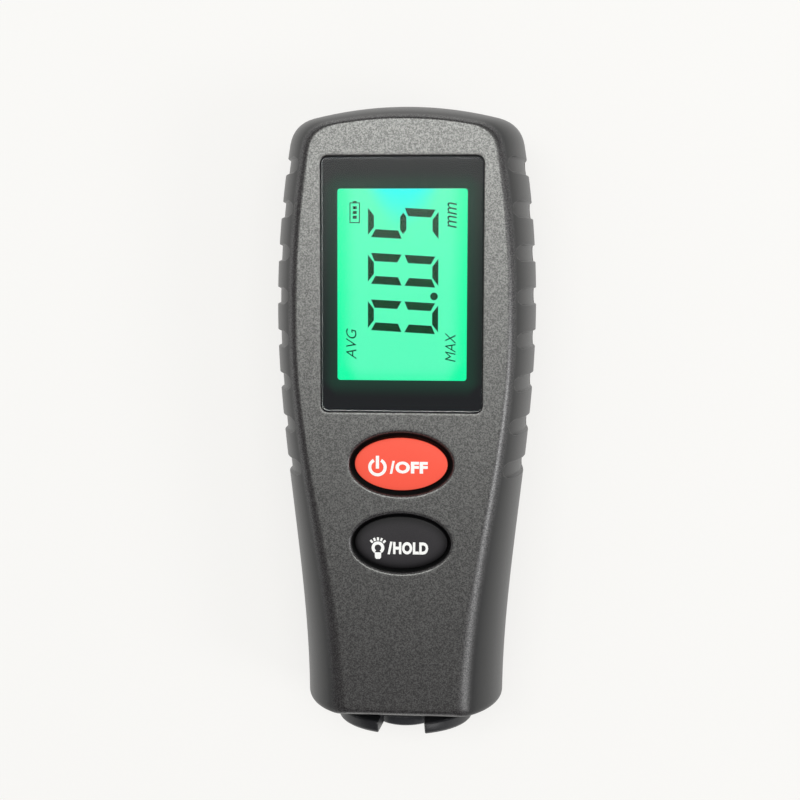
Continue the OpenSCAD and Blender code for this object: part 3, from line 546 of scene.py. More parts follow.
@dataclass(frozen=True)
class CellJacket(Finish):
    """Printed jacket of a cell: a dark body, a warm band at one end and bare metal ends."""

    name: str
    low: float
    high: float
    band_at_high: bool
    dark: Colour = tint(34, 36, 40)
    warm: Colour = tint(176, 112, 62)
    bare: Colour = tint(206, 206, 204)
    band_from: Pair = (0.735, 0.74)
    top_from: Pair = (0.968, 0.97)
    foot_from: Pair = (0.985, 0.987)

    def make(self) -> Material:
        """Mixes body, band and bare ends along the cell.

        Returns:
            The material.
        """
        graph = Graph(self.name)
        _, y, _ = graph.axes()
        along = (y - self.low * MM) / ((self.high - self.low) * MM)
        if not self.band_at_high:
            along = 1 - along
        wear = graph.noise(1.2, 3.0)
        band = along.ramp(*self.band_from)
        metal = along.ramp(*self.top_from) + (1 - along).ramp(*self.foot_from)
        jacket = graph.mix(band, self.dark, self.warm)
        return graph.surface(
            Base_Color=graph.mix(metal, jacket, self.bare),
            Metallic=metal + band * 0.4,
            Roughness=0.3 + wear * 0.14,
            Normal=graph.relief(wear, 0.01),
        )


class Skin:
    """Vertices and faces of one piece, gathered in millimetres."""

    def __init__(self) -> None:
        """Starts with no faces."""
        self.points: list[Point] = []
        self.faces: list[Sequence[int]] = []

    def loop(self, points: Sequence[Point]) -> range:
        """Adds points.

        Args:
            points: Points of the loop.

        Returns:
            Their numbers.
        """
        start = len(self.points)
        self.points.extend(tuple(float(c) for c in p) for p in points)
        return range(start, len(self.points))

    def bridge(self, first: range, second: range) -> range:
        """Joins two closed loops of equal count by a band of quads.

        Args:
            first: Numbers of one loop.
            second: Numbers of the other loop.

        Returns:
            The second loop.
        """
        count = len(first)
        for i in range(count):
            j = (i + 1) % count
            self.faces.append((first[i], first[j], second[j], second[i]))
        return second

    def stack(self, loops: Sequence[Sequence[Point]], last: range) -> range:
        """Adds loops one after another and joins each to the one before.

        Args:
            loops: Points of each loop.
            last: Loop that the first one joins.

        Returns:
            Numbers of the last loop.
        """
        for points in loops:
            last = self.bridge(last, self.loop(points))
        return last

    def tube(self, loops: Sequence[Sequence[Point]]) -> tuple[range, range]:
        """Joins loops one after another and gives the first and the last."""
        first = self.loop(loops[0])
        return first, self.stack(loops[1:], first)

    def solid(self, loops: Sequence[Sequence[Point]]) -> None:
        """Joins loops one after another and closes both ends.

        Args:
            loops: Points of each loop.
        """
        first = self.loop(loops[0])
        self.cap(first)
        self.cap(self.stack(loops[1:], first))

    def cap(self, loop: range) -> None:
        """Closes a loop by one flat face."""
        self.faces.append(tuple(loop))

    def sheet(self, outer: range, holes: Sequence[range]) -> None:
        """Fills the flat area between an outer loop and the holes in it.

        Args:
            outer: Numbers of the outer loop.
            holes: Numbers of the loop round each hole.
        """
        numbers = [i for loop in (outer, *holes) for i in loop]
        lines = [[Vector(self.points[i]) for i in loop] for loop in (outer, *holes)]
        self.faces.extend(tuple(numbers[i] for i in t) for t in tessellate_polygon(lines))

    def piece(self, name: str, material: Material, sharp: float = SHARP) -> Object:
        """Makes the object, in metres, with its faces outward.

        Args:
            name: Name of the piece.
            material: Its finish.
            sharp: Angle in degrees past which an edge shades as a sharp one.

        Returns:
            The object.
        """
        mesh = bpy.data.meshes.new(name)
        mesh.from_pydata([tuple(c * MM for c in p) for p in self.points], [], self.faces)
        return piece_from_mesh(name, mesh, material, sharp)


def linked(name: str, data: ID) -> Object:
    """Puts data into the scene as a new object.

    Args:
        name: Name of the object.
        data: What it shows.

    Returns:
        The object.
    """
    thing = bpy.data.objects.new(name, data)
    bpy.context.scene.collection.objects.link(thing)
    return thing


def evaluated(thing: Object) -> Mesh:
    """Copies the shape that an object has with its modifiers.

    Args:
        thing: The object.

    Returns:
        A plain mesh.
    """
    thing.update_tag()
    shape = thing.evaluated_get(bpy.context.evaluated_depsgraph_get())
    return bpy.data.meshes.new_from_object(shape)


def piece_from_mesh(name: str, mesh: Mesh, material: Material, sharp: float = SHARP) -> Object:
    """Links a mesh as a piece at the origin, with merged points, outward faces and its finish.

    Args:
        name: Name of the piece.
        mesh: Its mesh, in metres.
        material: Its finish.
        sharp: Angle in degrees past which an edge shades as a sharp one.

    Returns:
        The object.
    """
    form = bmesh.new()
    form.from_mesh(mesh)
    bmesh.ops.remove_doubles(form, verts=form.verts, dist=MERGE)
    bmesh.ops.dissolve_degenerate(form, edges=form.edges, dist=SLIVER)
    bmesh.ops.recalc_face_normals(form, faces=form.faces)
    form.to_mesh(mesh)
    form.free()
    mesh.materials.clear()
    mesh.materials.append(material)
    mesh.shade_smooth()
    mesh.set_sharp_from_angle(angle=math.radians(sharp))
    return linked(name, mesh)


def bake_piece(
    name: str, carrier: Object, finish: Material, spare: Sequence[Object], sharp: float = SHARP
) -> Object:
    """Turns an object with a live modifier into a plain piece.

    Args:
        name: Name of the piece.
        carrier: Object with the modifier, which is removed.
        finish: Material of the piece.
        spare: Other objects that are no longer needed.
        sharp: Angle in degrees past which an edge shades as a sharp one.

    Returns:
        The piece.
    """
    mesh = evaluated(carrier)
    carrier.modifiers.clear()
    for thing in (carrier, *spare):
        bpy.data.objects.remove(thing)
    mesh.name = name
    return piece_from_mesh(name, mesh, finish, sharp)


def settle(thing: Object, body: Body, slot: str, *nodes: str) -> None:
    """Puts a finished piece on its body and in place of its solids.

    Args:
        thing: The piece.
        body: Body that it moves with.
        slot: Slot of the record that its finish belongs to; not used.
        nodes: Solids that it stands for.
    """
    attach(thing, body.value)
    if nodes:
        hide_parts(*nodes)
    LOG.info("%s on %s: %d faces", thing.name, body.value, len(thing.data.polygons))


def level(flat: np.ndarray, z: float) -> np.ndarray:
    """Points of a plane, all at one height."""
    return np.column_stack([flat, np.full(len(flat), z)])


def oval(half_w: float, half_l: float, y: float, z: float, steps: int = 96, x: float = 0.0) -> np.ndarray:
    """Loop of points on an ellipse, at one height."""
    a = np.linspace(0, 2 * math.pi, steps, endpoint=False)
    return level(np.column_stack([x + half_w * np.cos(a), y + half_l * np.sin(a)]), z)


def circle(r: float, x: float, y: float, z: float, steps: int = 40) -> np.ndarray:
    """Loop of points on a circle, at one height."""
    return oval(r, r, y, z, steps, x)


def rounded(size: Point, y: float, grow: float, z: float, steps: int = 8) -> np.ndarray:
    """Loop of points on a grown rectangle with rounded corners, at one height.

    Args:
        size: Width, length and corner radius before the growth.
        y: Place of its middle along Y.
        grow: Growth on every side.
        z: Height of the loop.
        steps: Points on each corner.

    Returns:
        Points of the loop.
    """
    half_w, half_l, r = size[0] / 2 + grow, size[1] / 2 + grow, size[2] + grow
    turn = np.linspace(0, math.pi / 2, steps)
    corners = [
        np.column_stack([
            sx * (half_w - r) + r * np.cos(turn + q * math.pi / 2),
            y + sy * (half_l - r) + r * np.sin(turn + q * math.pi / 2),
        ])
        for sx, sy, q in ((1, 1, 0), (-1, 1, 1), (-1, -1, 2), (1, -1, 3))
    ]
    return level(np.vstack(corners), z)


def rect(x: float, low: float, high: float, z: float, grow: float = 0.0) -> list[Point]:
    """Loop of the corners of a rectangle that is centred on the Y axis, at one height."""
    x, low, high = x + grow, low - grow, high + grow
    return [(x, low, z), (x, high, z), (-x, high, z), (-x, low, z)]


def bend(first: Point, pull: Point, last: Point, t: np.ndarray) -> np.ndarray:
    """Points on a quadratic curve from first to last that is pulled towards a point."""
    a, b, c = (np.array(p) for p in (first, pull, last))
    return (1 - t) ** 2 * a + 2 * t * (1 - t) * b + t * t * c


def spans(*rows: Span) -> np.ndarray:
    """Values along rows of start, end and count, of which only the last row holds its end."""
    parts = [np.linspace(*row, endpoint=False) for row in rows[:-1]]
    return np.concatenate([*parts, np.linspace(*rows[-1])])


@dataclass(frozen=True)
class CaseForm:
    """Outer form of the case, as in the solids but with fuller sides on the front half."""

    y_top: float = 55.0
    y_end: float = -50.0
    split_z: float = 12.8
    face_z: float = 27.0
    case_w: float = 45.6
    top_w: float = 38.6
    end_w: float = 35.0
    face_w: float = 35.2
    face_top_w: float = 27.6
    face_end_w: float = 18.8
    wide_from_top: float = 35.0
    taper_from_top: float = 39.0
    face_setback: float = 3.25
    roundness: float = 1.85
    back_roundness: float = 2.6
    back_setback: float = 2.4
    bow_r: float = 64.0
    top_corner_r: float = 3.4
    end_corner_r: float = 1.4
    end_edge_r: float = 1.2
    neck_r: float = 9.12
    groove_count: int = 8
    groove_pitch: float = 7.38
    groove_from_top: float = 10.5
    groove_r: float = 1.35
    groove_depth: float = 0.55
    groove_reach: float = 0.63
    groove_low: float = 5.0
    groove_soft: float = 0.34
    groove_columns: tuple[float, ...] = (
        0, 0.45, 0.8, 1.0, 1.1, 1.18, 1.26, 1.35, 1.44, 1.52, 1.6, 1.72, 1.95, 2.4, 3.0,
    )
    plain_columns: int = 30
    plain_margins: Pair = (3.4, 4.4)
    top_margin: float = 8.6
    neck_columns: int = 15
    flank_columns: int = 7
    flank_margin: float = 0.4
    corner_steps: int = 8
    bow_steps: int = 16

    @property
    def y_wide(self) -> float:
        """Place of the widest section."""
        return self.y_top - self.wide_from_top

    @property
    def grooves(self) -> np.ndarray:
        """Places of the grip grooves along Y."""
        return self.y_top - self.groove_from_top - self.groove_pitch * np.arange(self.groove_count)

    def side_places(self) -> np.ndarray:
        """Spreads the columns along a side, close together at the groove edges.

        Returns:
            Places of the columns along Y.
        """
        off = np.array(self.groove_columns)
        near = np.concatenate([g + s * off for g in self.grooves for s in (1, -1)])
        low, high = self.plain_margins
        far = np.linspace(self.y_end + low, self.grooves[-1] - high, self.plain_columns)
        every = np.unique(np.round(np.concatenate([near, far]), 5))
        limit = self.y_top - self.top_margin
        return np.append(every[every < limit - 0.1], limit)

    def end_shares(self) -> np.ndarray:
        """Spreads the columns across half of the probe end.

        Returns:
            Places of the columns, as shares of the end's flat half width.
        """
        flat = self.end_w / 2 - self.end_corner_r
        arc = self.neck_r * np.sin(np.linspace(0, math.pi / 2, self.neck_columns))
        flank = np.linspace(self.neck_r + self.flank_margin, flat - self.flank_margin, self.flank_columns)
        return np.concatenate([arc, flank]) / flat

    def half(self, y: np.ndarray, wide: float, top: float, end: float, start: float) -> np.ndarray:
        """Half width of an outline that bows towards the display end and tapers towards the probe.

        Args:
            y: Places along Y.
            wide: Full width at the widest section.
            top: Full width at the display end.
            end: Full width at the probe end.
            start: Place at which the taper starts.

        Returns:
            Half of the width at each place.
        """
        bowed = wide - (wide - top) * ((y - self.y_wide) / self.wide_from_top) ** 2
        taper = smooth(0, 1, (start - y) / (start - self.y_end))
        return np.where(y > self.y_wide, bowed, wide + (end - wide) * taper) / 2

    def half_at(self, y: np.ndarray, share: float) -> np.ndarray:
        """Half width of the case at one level.

        Args:
            y: Places along Y.
            share: Share of the way from the joint's outline to the face.

        Returns:
            Half of the width at each place.
        """
        y, start = np.asarray(y, float), self.y_top - self.taper_from_top
        split = self.half(y, self.case_w, self.top_w, self.end_w, self.y_wide)
        face = self.half(y, self.face_w, self.face_top_w, self.face_end_w, start)
        return split + (face - split) * share

    def bow_y(self, x: np.ndarray, top: float) -> np.ndarray:
        """Place of the bowed display end."""
        return self.y_top - top - x * x / (2 * self.bow_r)

    def outline(self, share: float, side: float, top: float, end: float) -> np.ndarray:
        """Outline at one level, counterclockwise from the middle of the probe end.

        Args:
            share: Share of the way from the joint's outline to the face.
            side: Setback of the sides.
            top: Setback of the bowed end.
            end: Setback of the probe end.

        Returns:
            Points in the plane of the level.
        """

        def edge(y: float) -> float:
            """Half width at one place."""
            return float(self.half_at(y, share)) - side

        ye, re, rt = self.y_end + end, self.end_corner_r, self.top_corner_r
        ce, ct = edge(ye), edge(self.bow_y(edge(self.y_top), top))
        yt = self.bow_y(ct, top)
        low, high = (edge(ye + re), ye + re), (edge(yt - rt), yt - rt)
        bow = (ct - rt, self.bow_y(ct - rt, top))
        t = np.linspace(0, 1, self.corner_steps, endpoint=False)[:, None]
        flat = self.end_shares()[:, None] * [ce - re, 0] + [0, ye]
        y = self.side_places()
        x = bow[0] * np.linspace(1, 0, self.bow_steps + 1)
        half = np.vstack([
            flat,
            bend((ce - re, ye), (ce, ye), low, t),
            [low],
            np.column_stack([self.half_at(y, share) - side, y]),
            bend(high, (ct, yt), bow, t),
            np.column_stack([x, self.bow_y(x, top)]),
        ])
        return np.vstack([half, half[-2:0:-1] * [-1, 1]])

    def end_columns(self) -> np.ndarray:
        """Finds the columns of an outline that stand over or under the neck's hole.

        Returns:
            Whether each column does.
        """
        half = self.end_shares() * (self.end_w / 2 - self.end_corner_r) < self.neck_r - 1e-6
        count = len(self.outline(0, 0, 0, 0))
        mask = np.zeros(count, bool)
        mask[: len(half)] = half
        mask[count - len(half) + 1 :] = half[:0:-1]
        return mask

    def grooved(self, ring: np.ndarray, past: np.ndarray) -> np.ndarray:
        """Cuts the grip grooves into a ring.

        Args:
            ring: Points of the ring.
            past: Distance of the points past the middle of a groove's round end.

        Returns:
            Points of the ring, moved in by the full depth on the grooves' floors.
        """
        along = ring[None, :, 1] - self.grooves[:, None]
        away = np.hypot(np.minimum(past, 0), along) - self.groove_r
        mask = (1 - smooth(-self.groove_soft / 2, self.groove_soft / 2, away)).max(0)
        cut = ring.copy()
        cut[:, 0] -= np.sign(ring[:, 0]) * self.groove_depth * mask
        return cut

    def cut_front(self, ring: np.ndarray) -> np.ndarray:
        """Ring of the front half with its grooves, which are long rounds seen from above."""
        ends = self.half_at(self.grooves, self.groove_reach) + self.groove_r
        return self.grooved(ring, np.abs(ring[None, :, 0]) - ends[:, None])

    def cut_rear(self, ring: np.ndarray) -> np.ndarray:
        """Ring of the rear half with its grooves, which are long rounds seen from the side."""
        return self.grooved(ring, ring[:, 2] - self.groove_low - self.groove_r)

    def front_ring(self, turn: float, inset: float, end: float) -> np.ndarray:
        """Ring of the front half.

        Args:
            turn: Angle from 0 at the joint to 90 at the face.
            inset: Setback of the sides and the bowed end.
            end: Setback of the probe end.

        Returns:
            Points of the ring.
        """
        t = math.radians(turn)
        z = self.split_z + (self.face_z - self.split_z) * math.sin(t) ** (2 / self.roundness)
        share = 1 - max(math.cos(t), 0) ** (2 / self.roundness)
        rise = max(z - (self.face_z - self.end_edge_r), 0)
        curl = self.end_edge_r - math.sqrt(max(self.end_edge_r**2 - rise**2, 0))
        return level(self.outline(share, inset, self.face_setback * share + inset, curl + end), z)

    def back_share(self, z: np.ndarray) -> np.ndarray:
        """Share of the back's setback at a height."""
        drop = np.clip(1 - np.asarray(z, float) / self.split_z, 0, 1)
        return 1 - (1 - drop**self.back_roundness) ** (1 / self.back_roundness)

    def rear_ring(self, z: float, inset: float, end: float) -> np.ndarray:
        """Ring of the rear half.

        Args:
            z: Height of the ring.
            inset: Setback of the sides and the bowed end.
            end: Setback of the probe end.

        Returns:
            Points of the ring.
        """
        share = float(self.back_share(z))
        side = self.back_setback * share + inset
        return level(self.outline(0, side, side, self.end_edge_r * share + end), z)

    def notch(self, ring: np.ndarray, first: np.ndarray, limit: float, end: float | None) -> np.ndarray:
        """Ring with its columns at the probe end moved clear of the neck's hole.

        Args:
            ring: Points of the ring.
            first: Points of the ring at the joint.
            limit: Height past which nothing moves.
            end: Setback of the probe end on the rear half, whose end leans with height.

        Returns:
            Points of the ring.
        """
        mask, way = self.end_columns(), math.copysign(1, limit - self.split_z)
        out = ring.copy()
        reach = np.sqrt(np.maximum(self.neck_r**2 - first[mask, 0] ** 2, 0))
        edge = self.split_z + way * reach
        share = np.clip((ring[mask, 2] - self.split_z) / (limit - self.split_z), 0, 1)
        inside = (limit - ring[mask, 2]) * way > 0
        out[mask, 2] = np.where(inside, edge + (limit - edge) * share, ring[mask, 2])
        if end is not None:
            out[mask, 1] = self.y_end + self.end_edge_r * self.back_share(out[mask, 2]) + end
        return out


@dataclass
class Case:
    """The two moulded shells.

    Past the clear heights, outside and inside, the neck's hole no longer moves the probe end of the
    front and of the rear shell. The guard is the flat rim inside the face's and the back's edges and
    round each opening, which keeps those edges crisp.
    """

    form: CaseForm = field(default_factory=CaseForm)
    wall: float = 2.2
    ceiling: float = 24.6
    rim_chamfer: float = 0.16
    front_turns: tuple[Span, ...] = ((4, 34, 12), (34, 64, 32), (64, 90, 22))
    rear_turns: tuple[Span, ...] = ((1.2, 22, 10), (22, 34, 26), (34, 90, 20))
    inner_turns: tuple[float, ...] = (1, 0.8, 0.55, 0.3, 0)
    inner_heights: tuple[float, ...] = (12.8, 10.0, 7.0, 5.0, 3.3)
    neck_clear: Pair = (25.4, 1.6)
    inner_clear: Pair = (24.0, 3.4)
    display_y: float = 24.3
    lens_size: Triple = (27.34, 42.94, 1.22)
    ledge_size: Triple = (23.3, 33.6, 0.5)
    ledge_z: float = 25.45
    key_half: Pair = (7.9, 4.5)
    key_places: Pair = (-6.0, -19.6)
    key_rims: Pair = (1.4, 1.15)
    key_gap: float = 0.18
    dish_soft: float = 0.55
    dish_turns: tuple[float, ...] = (0, 8, 16, 24, 32, 40, 50, 60, 70, 80)
    dish_margin: float = 0.4
    dish_wall: float = 26.15
    dish_lean: float = 0.05
    dish_floor: float = 25.1
    dish_chamfer: Pair = (0.1, 0.2)
    recess: Triple = (13.45, -33.85, 24.05)
    recess_z: float = 2.0
    trough_y: float = 20.95
    trough_z: float = 3.05
    bay: Triple = (11.3, -30.5, 19.5)
    bay_z: float = 12.85
    bay_wall: float = 1.2
    latch: Triple = (9.1, -33.4, -31.8)
    latch_z: float = 4.0
    screw_spots: tuple[Pair, ...] = (
        (13.97, 47.3), (-13.97, 47.3), (11.48, -38.6), (-11.48, -38.6),
    )
    screw_bore: float = 2.3
    screw_hole: float = 1.25
    screw_seat: float = 8.8
    boss_r: float = 3.3
    lip: float = 0.16
    guard: float = 0.5

    def dress(self, finish: Material) -> None:
        """Makes both shells and puts them in place of their solids."""
        settle(self.front().piece("front_case", finish), Body.HOUSING, "case", "front_shell")
        settle(self.rear().piece("rear_case", finish), Body.HOUSING, "case", "rear_shell")

    def front(self) -> Skin:
        """Builds the front shell: skin, face with its openings, ceiling and inner walls.

        Returns:
            The shell.
        """
        form, skin, chamfer = self.form, Skin(), self.rim_chamfer
        low = form.front_ring(0, chamfer, chamfer)
        second = form.front_ring(0, 0, 0) + [0, 0, chamfer]
        rings = [low, second, *(form.front_ring(t, 0, 0) for t in spans(*self.front_turns))]
        rings = [form.notch(form.cut_front(ring), low, self.neck_clear[0], None) for ring in rings]
        rim, outer = skin.tube(rings)
        guard = skin.stack([form.front_ring(90, self.guard, self.guard)], outer)
        openings = self.face_openings(skin)
        skin.sheet(guard, [first for first, _ in openings])
        height = (self.ceiling - form.split_z) / (form.face_z - form.split_z)
        roof = math.degrees(math.asin(height ** (form.roundness / 2)))
        inner_low = form.front_ring(0, self.wall, self.wall)
        inner = [form.front_ring(roof * share, self.wall, self.wall) for share in self.inner_turns]
        inner = [form.notch(ring, inner_low, self.inner_clear[0], None) for ring in inner]
        ceiling, bottom = skin.tube(inner)
        skin.sheet(ceiling, [last for _, last in openings])
        skin.bridge(bottom, rim)
        return skin

    def face_openings(self, skin: Skin) -> list[tuple[range, range]]:
        """Adds the walls of the display opening and of the key dishes.

        Args:
            skin: Skin of the front shell.

        Returns:
            The first loop on the face and the last on the ceiling, for each opening.
        """
        face, lip = self.form.face_z, self.lip
        turns = np.radians((0, 30, 60, 90))
        edge = [(lip * (1 - math.sin(a)), face - lip * (1 - math.cos(a))) for a in turns]
        profile = [(self.guard, face), *edge, (0.0, self.ledge_z)]
        loops = [rounded(self.lens_size, self.display_y, g, z) for g, z in profile]
        loops += [rounded(self.ledge_size, self.display_y, 0.0, z) for z in (self.ledge_z, self.ceiling)]
        ends = [skin.tube(loops)]
        w, l = self.key_half
        for y, rim in zip(self.key_places, self.key_rims):
            ends.append(skin.tube([oval(w + g, l + g, y, z) for g, z in self.dish(rim)]))
        return ends

    def dish(self, rim: float) -> list[Pair]:
        """Profile of the dish round a key.

        Args:
            rim: Distance from the key at which the dish starts.

        Returns:
            Growth of the key's oval and height, from the face down to the ceiling.
        """
        face, soft, gap, floor = self.form.face_z, self.dish_soft, self.key_gap, self.dish_floor
        turns, (out, drop) = np.radians(self.dish_turns), self.dish_chamfer
        curve = [(rim - soft * math.sin(a), face - soft * (1 - math.cos(a))) for a in turns]
        wall = [(rim - soft - self.dish_lean, self.dish_wall), (gap + out, floor), (gap, floor - drop)]
        return [(rim + self.dish_margin, face), *curve, *wall, (gap, self.ceiling)]

    def rear(self) -> Skin:
        """Builds the rear shell: skin, back with battery bay and screw wells, and inner walls.

        Returns:
            The shell.
        """
        form, skin, chamfer = self.form, Skin(), self.rim_chamfer
        low = form.rear_ring(form.split_z, chamfer, chamfer)
        turns = np.radians(spans(*self.rear_turns))
        levels = form.split_z * (1 - np.sin(turns) ** (2 / form.back_roundness))
        heights = [form.split_z - chamfer, *levels[:-1], 0.0]
        rings = [(low, chamfer), *((form.rear_ring(z, 0, 0), 0.0) for z in heights)]
        limit = self.neck_clear[1]
        rim, outer = skin.tube([form.notch(form.cut_rear(ring), low, limit, end) for ring, end in rings])
        guard = skin.stack([form.rear_ring(0.0, self.guard, self.guard)], outer)
        wells = [self.screw_well(skin, x, y) for x, y in self.screw_spots]
        skin.sheet(guard, [self.battery_bay(skin), *(first for first, _ in wells)])
        base, limit = self.inner_heights[-1], self.inner_clear[1]
        inner = [form.rear_ring(z, self.wall, self.wall) for z in self.inner_heights]
        floor = skin.stack([form.notch(ring, inner[0], limit, self.wall) for ring in inner], rim)
        levels = (base, self.bay_z + self.bay_wall)
        block, roof = skin.tube([rect(*self.bay, z, self.bay_wall) for z in levels])
        skin.cap(roof)
        bosses = []
        for (x, y), (_, hole) in zip(self.screw_spots, wells):
            foot, top = skin.tube([circle(self.boss_r, x, y, z) for z in (base, form.split_z)])
            skin.bridge(top, hole)
            bosses.append(foot)
        skin.sheet(floor, [block, *bosses])
        return skin

    def screw_well(self, skin: Skin, x: float, y: float) -> tuple[range, range]:
        """Adds the walls of one screw well.

        Args:
            skin: Skin of the rear shell.
            x: Place of the screw across.
            y: Place of the screw along.

        Returns:
            The first loop on the back and the last at the top of the screw's hole.
        """
        bore, lip = self.screw_bore, self.lip
        steps = (
            (bore + self.guard, 0.0), (bore + lip, 0.0), (bore + lip * 0.3, lip * 0.3), (bore, lip),
            (bore, self.screw_seat), (self.screw_hole, self.screw_seat), (self.screw_hole, self.form.split_z),
        )
        return skin.tube([circle(r, x, y, z) for r, z in steps])

    def battery_bay(self, skin: Skin) -> range:
        """Adds the recess for the door, the hinge trough, the latch slot and the cell bay.

        Args:
            skin: Skin of the rear shell.

        Returns:
            The loop round the recess on the back.
        """
        x, low, high = self.recess
        step, lip = self.trough_y, self.lip
        rims = ((0.0, self.guard), (0.0, lip), (lip, 0.0))
        first, edge = skin.tube([rect(x, low, high, z, grow) for z, grow in rims])
        deep = skin.loop(rect(x, step, high, self.trough_z))
        floor = skin.loop(rect(x, low, step, self.recess_z))
        skin.faces += [
            (edge[0], edge[1], deep[1], deep[0], floor[1], floor[0]),
            (edge[1], edge[2], deep[2], deep[1]),
            (edge[2], edge[3], floor[3], floor[2], deep[3], deep[2]),
            (edge[3], edge[0], floor[0], floor[3]),
            (floor[1], deep[0], deep[3], floor[2]),
        ]
        skin.cap(deep)
        holes = []
        for hole, top in ((self.bay, self.bay_z), (self.latch, self.latch_z)):
            mouth, roof = skin.tube([rect(*hole, z) for z in (self.recess_z, top)])
            skin.cap(roof)
            holes.append(mouth)
        skin.sheet(floor, holes)
        return first


@dataclass
class Key:
    """One oval key with a crowned top."""

    name: str
    node: str
    body: Body
    slot: str
    y: float
    half_w: float = Case.key_half[0]
    half_l: float = Case.key_half[1]
    rim_z: float = 26.55
    crown: float = 0.55
    crown_turns: Triple = (3, 88, 4.0)
    flange: float = 1.1
    flange_z: Pair = (23.6, 24.6)
    fillet: Pair = (0.12, 0.02)
    edge: float = 0.1
    sharp: float = 60.0
    halvings: int = 40

    def height(self, x: float, y: float) -> float:
        """Height of the key's top, found by halving the inset of the oval through a place.

        Args:
            x: Place across.
            y: Place along.

        Returns:
            The height there.
        """
        low, high = 0.0, self.half_l
        for _ in range(self.halvings):
            inset = (low + high) / 2
            w, l = self.half_w - inset, max(self.half_l - inset, 1e-6)
            inside = (x / w) ** 2 + ((y - self.y) / l) ** 2 < 1
            low, high = (inset, high) if inside else (low, inset)
        return self.rim_z + self.crown * math.sqrt(1 - (1 - low / self.half_l) ** 2)

    def dress(self, finish: Material) -> None:
        """Makes the key and puts it in place of its solid.

        Args:
            finish: Material of the key.
        """
        skin, edge = Skin(), self.edge
        (base, top), (out, drop) = self.flange_z, self.fillet
        profile = [(self.flange, base), (self.flange, top - edge), (out, top - drop), (0.0, top + edge)]
        profile.append((0.0, self.rim_z - edge))
        for turn in np.radians(np.arange(*self.crown_turns)):
            inset = self.half_l * (1 - math.cos(turn))
            profile.append((-inset, self.rim_z + self.crown * math.sin(turn)))
        skin.solid([oval(self.half_w + g, self.half_l + g, self.y, z) for g, z in profile])
        settle(skin.piece(self.name, finish, self.sharp), self.body, self.slot, self.node)


@dataclass
class Stamp:
    """Flat print: outlines and words that are laid on a surface as one thin layer."""

    name: str
    lift: float = 0.05
    sink: float = 0.08
    sharp: float = 30.0
    merge: float = 1e-5
    arc_step: float = 8.0
    curve_steps: int = 4
    bold_spacing: float = 1.4
    skin: Skin = field(default_factory=Skin)

    def outline(self, points: Sequence[Point], middle: Point = (0.0, 0.0)) -> None:
        """Adds one closed shape, moved from the origin to its middle."""
        placed = [(middle[0] + x, middle[1] + y) for x, y in points]
        self.skin.solid([[(x, y, side) for x, y in placed] for side in (-1, 1)])

    def band(self, middle: Point, inner: float, outer: float, start: float, end: float) -> None:
        """Adds part of a ring.

        Args:
            middle: Middle of the ring.
            inner: Its inner radius.
            outer: Its outer radius.
            start: Angle in degrees at which it starts.
            end: Angle in degrees at which it ends.
        """
        turns = np.radians(np.linspace(start, end, max(int((end - start) / self.arc_step), 2) + 1))
        corners = [(outer, a) for a in turns] + [(inner, a) for a in turns[::-1]]
        self.outline([(r * math.cos(a), r * math.sin(a)) for r, a in corners], middle)

    def dot(self, middle: Point, radius: float) -> None:
        """Adds a round dot."""
        self.outline(circle(radius, 0.0, 0.0, 0.0)[:, :2], middle)

    def words(self, text: str, middle: Point, size: Point, turn: float, lean: float, bold: float) -> None:
        """Adds words, scaled to a box.

        Args:
            text: The words.
            middle: Middle of the box.
            size: Width and height of the box along the line of the words.
            turn: Turn of the line in degrees.
            lean: Slant of the letters.
            bold: Growth of the strokes, as a share of the letters' size.
        """
        curve = bpy.data.curves.new(self.name, "FONT")
        curve.body, curve.shear, curve.offset, curve.extrude = text, lean, bold, 1.0
        curve.resolution_u = self.curve_steps
        curve.space_character = 1.0 + self.bold_spacing * max(bold, 0)
        thing = linked(self.name, curve)
        mesh = evaluated(thing)
        co = np.array([v.co for v in mesh.vertices])
        low, high = co.min(0), co.max(0)
        flat = (co[:, :2] - (low[:2] + high[:2]) / 2) / (high[:2] - low[:2]) * size
        c, s = math.cos(math.radians(turn)), math.sin(math.radians(turn))
        placed = flat @ np.array([[c, s], [-s, c]]) + middle
        numbers = self.skin.loop(np.column_stack([placed, np.sign(co[:, 2])]))
        self.skin.faces.extend(tuple(numbers[i] for i in p.vertices) for p in mesh.polygons)
        bpy.data.objects.remove(thing)
        bpy.data.curves.remove(curve)
        bpy.data.meshes.remove(mesh)

    def lay(self, surface: Surface, finish: Material, grid: float | None = None) -> Object:
        """Lays the print on a surface.

        Args:
            surface: Height of the surface at a place.
            finish: Ink of the print.
            grid: Spacing of the cuts that let the print follow a curved surface.

        Returns:
            The piece.
        """
        mesh = bpy.data.meshes.new(self.name)
        mesh.from_pydata(self.skin.points, [], self.skin.faces)
        form = bmesh.new()
        form.from_mesh(mesh)
        bmesh.ops.remove_doubles(form, verts=form.verts, dist=self.merge)
        co = np.array([v.co for v in form.verts])
        for axis in (0, 1) if grid else ():
            for place in np.arange(co[:, axis].min() + grid / 2, co[:, axis].max(), grid):
                spot, way = Vector((0, 0, 0)), Vector((0, 0, 0))
                spot[axis], way[axis] = place, 1
                every = list(form.verts) + list(form.edges) + list(form.faces)
                bmesh.ops.bisect_plane(form, geom=every, plane_co=spot, plane_no=way)
        for v in form.verts:
            height = surface(v.co.x, v.co.y) + (self.lift if v.co.z > 0 else -self.sink)
            v.co = Vector((v.co.x, v.co.y, height)) * MM
        form.to_mesh(mesh)
        form.free()
        return piece_from_mesh(self.name, mesh, finish, self.sharp)


class Icon(Enum):
    """Plain symbols on the keys."""

    POWER = "power"
    LAMP = "lamp"


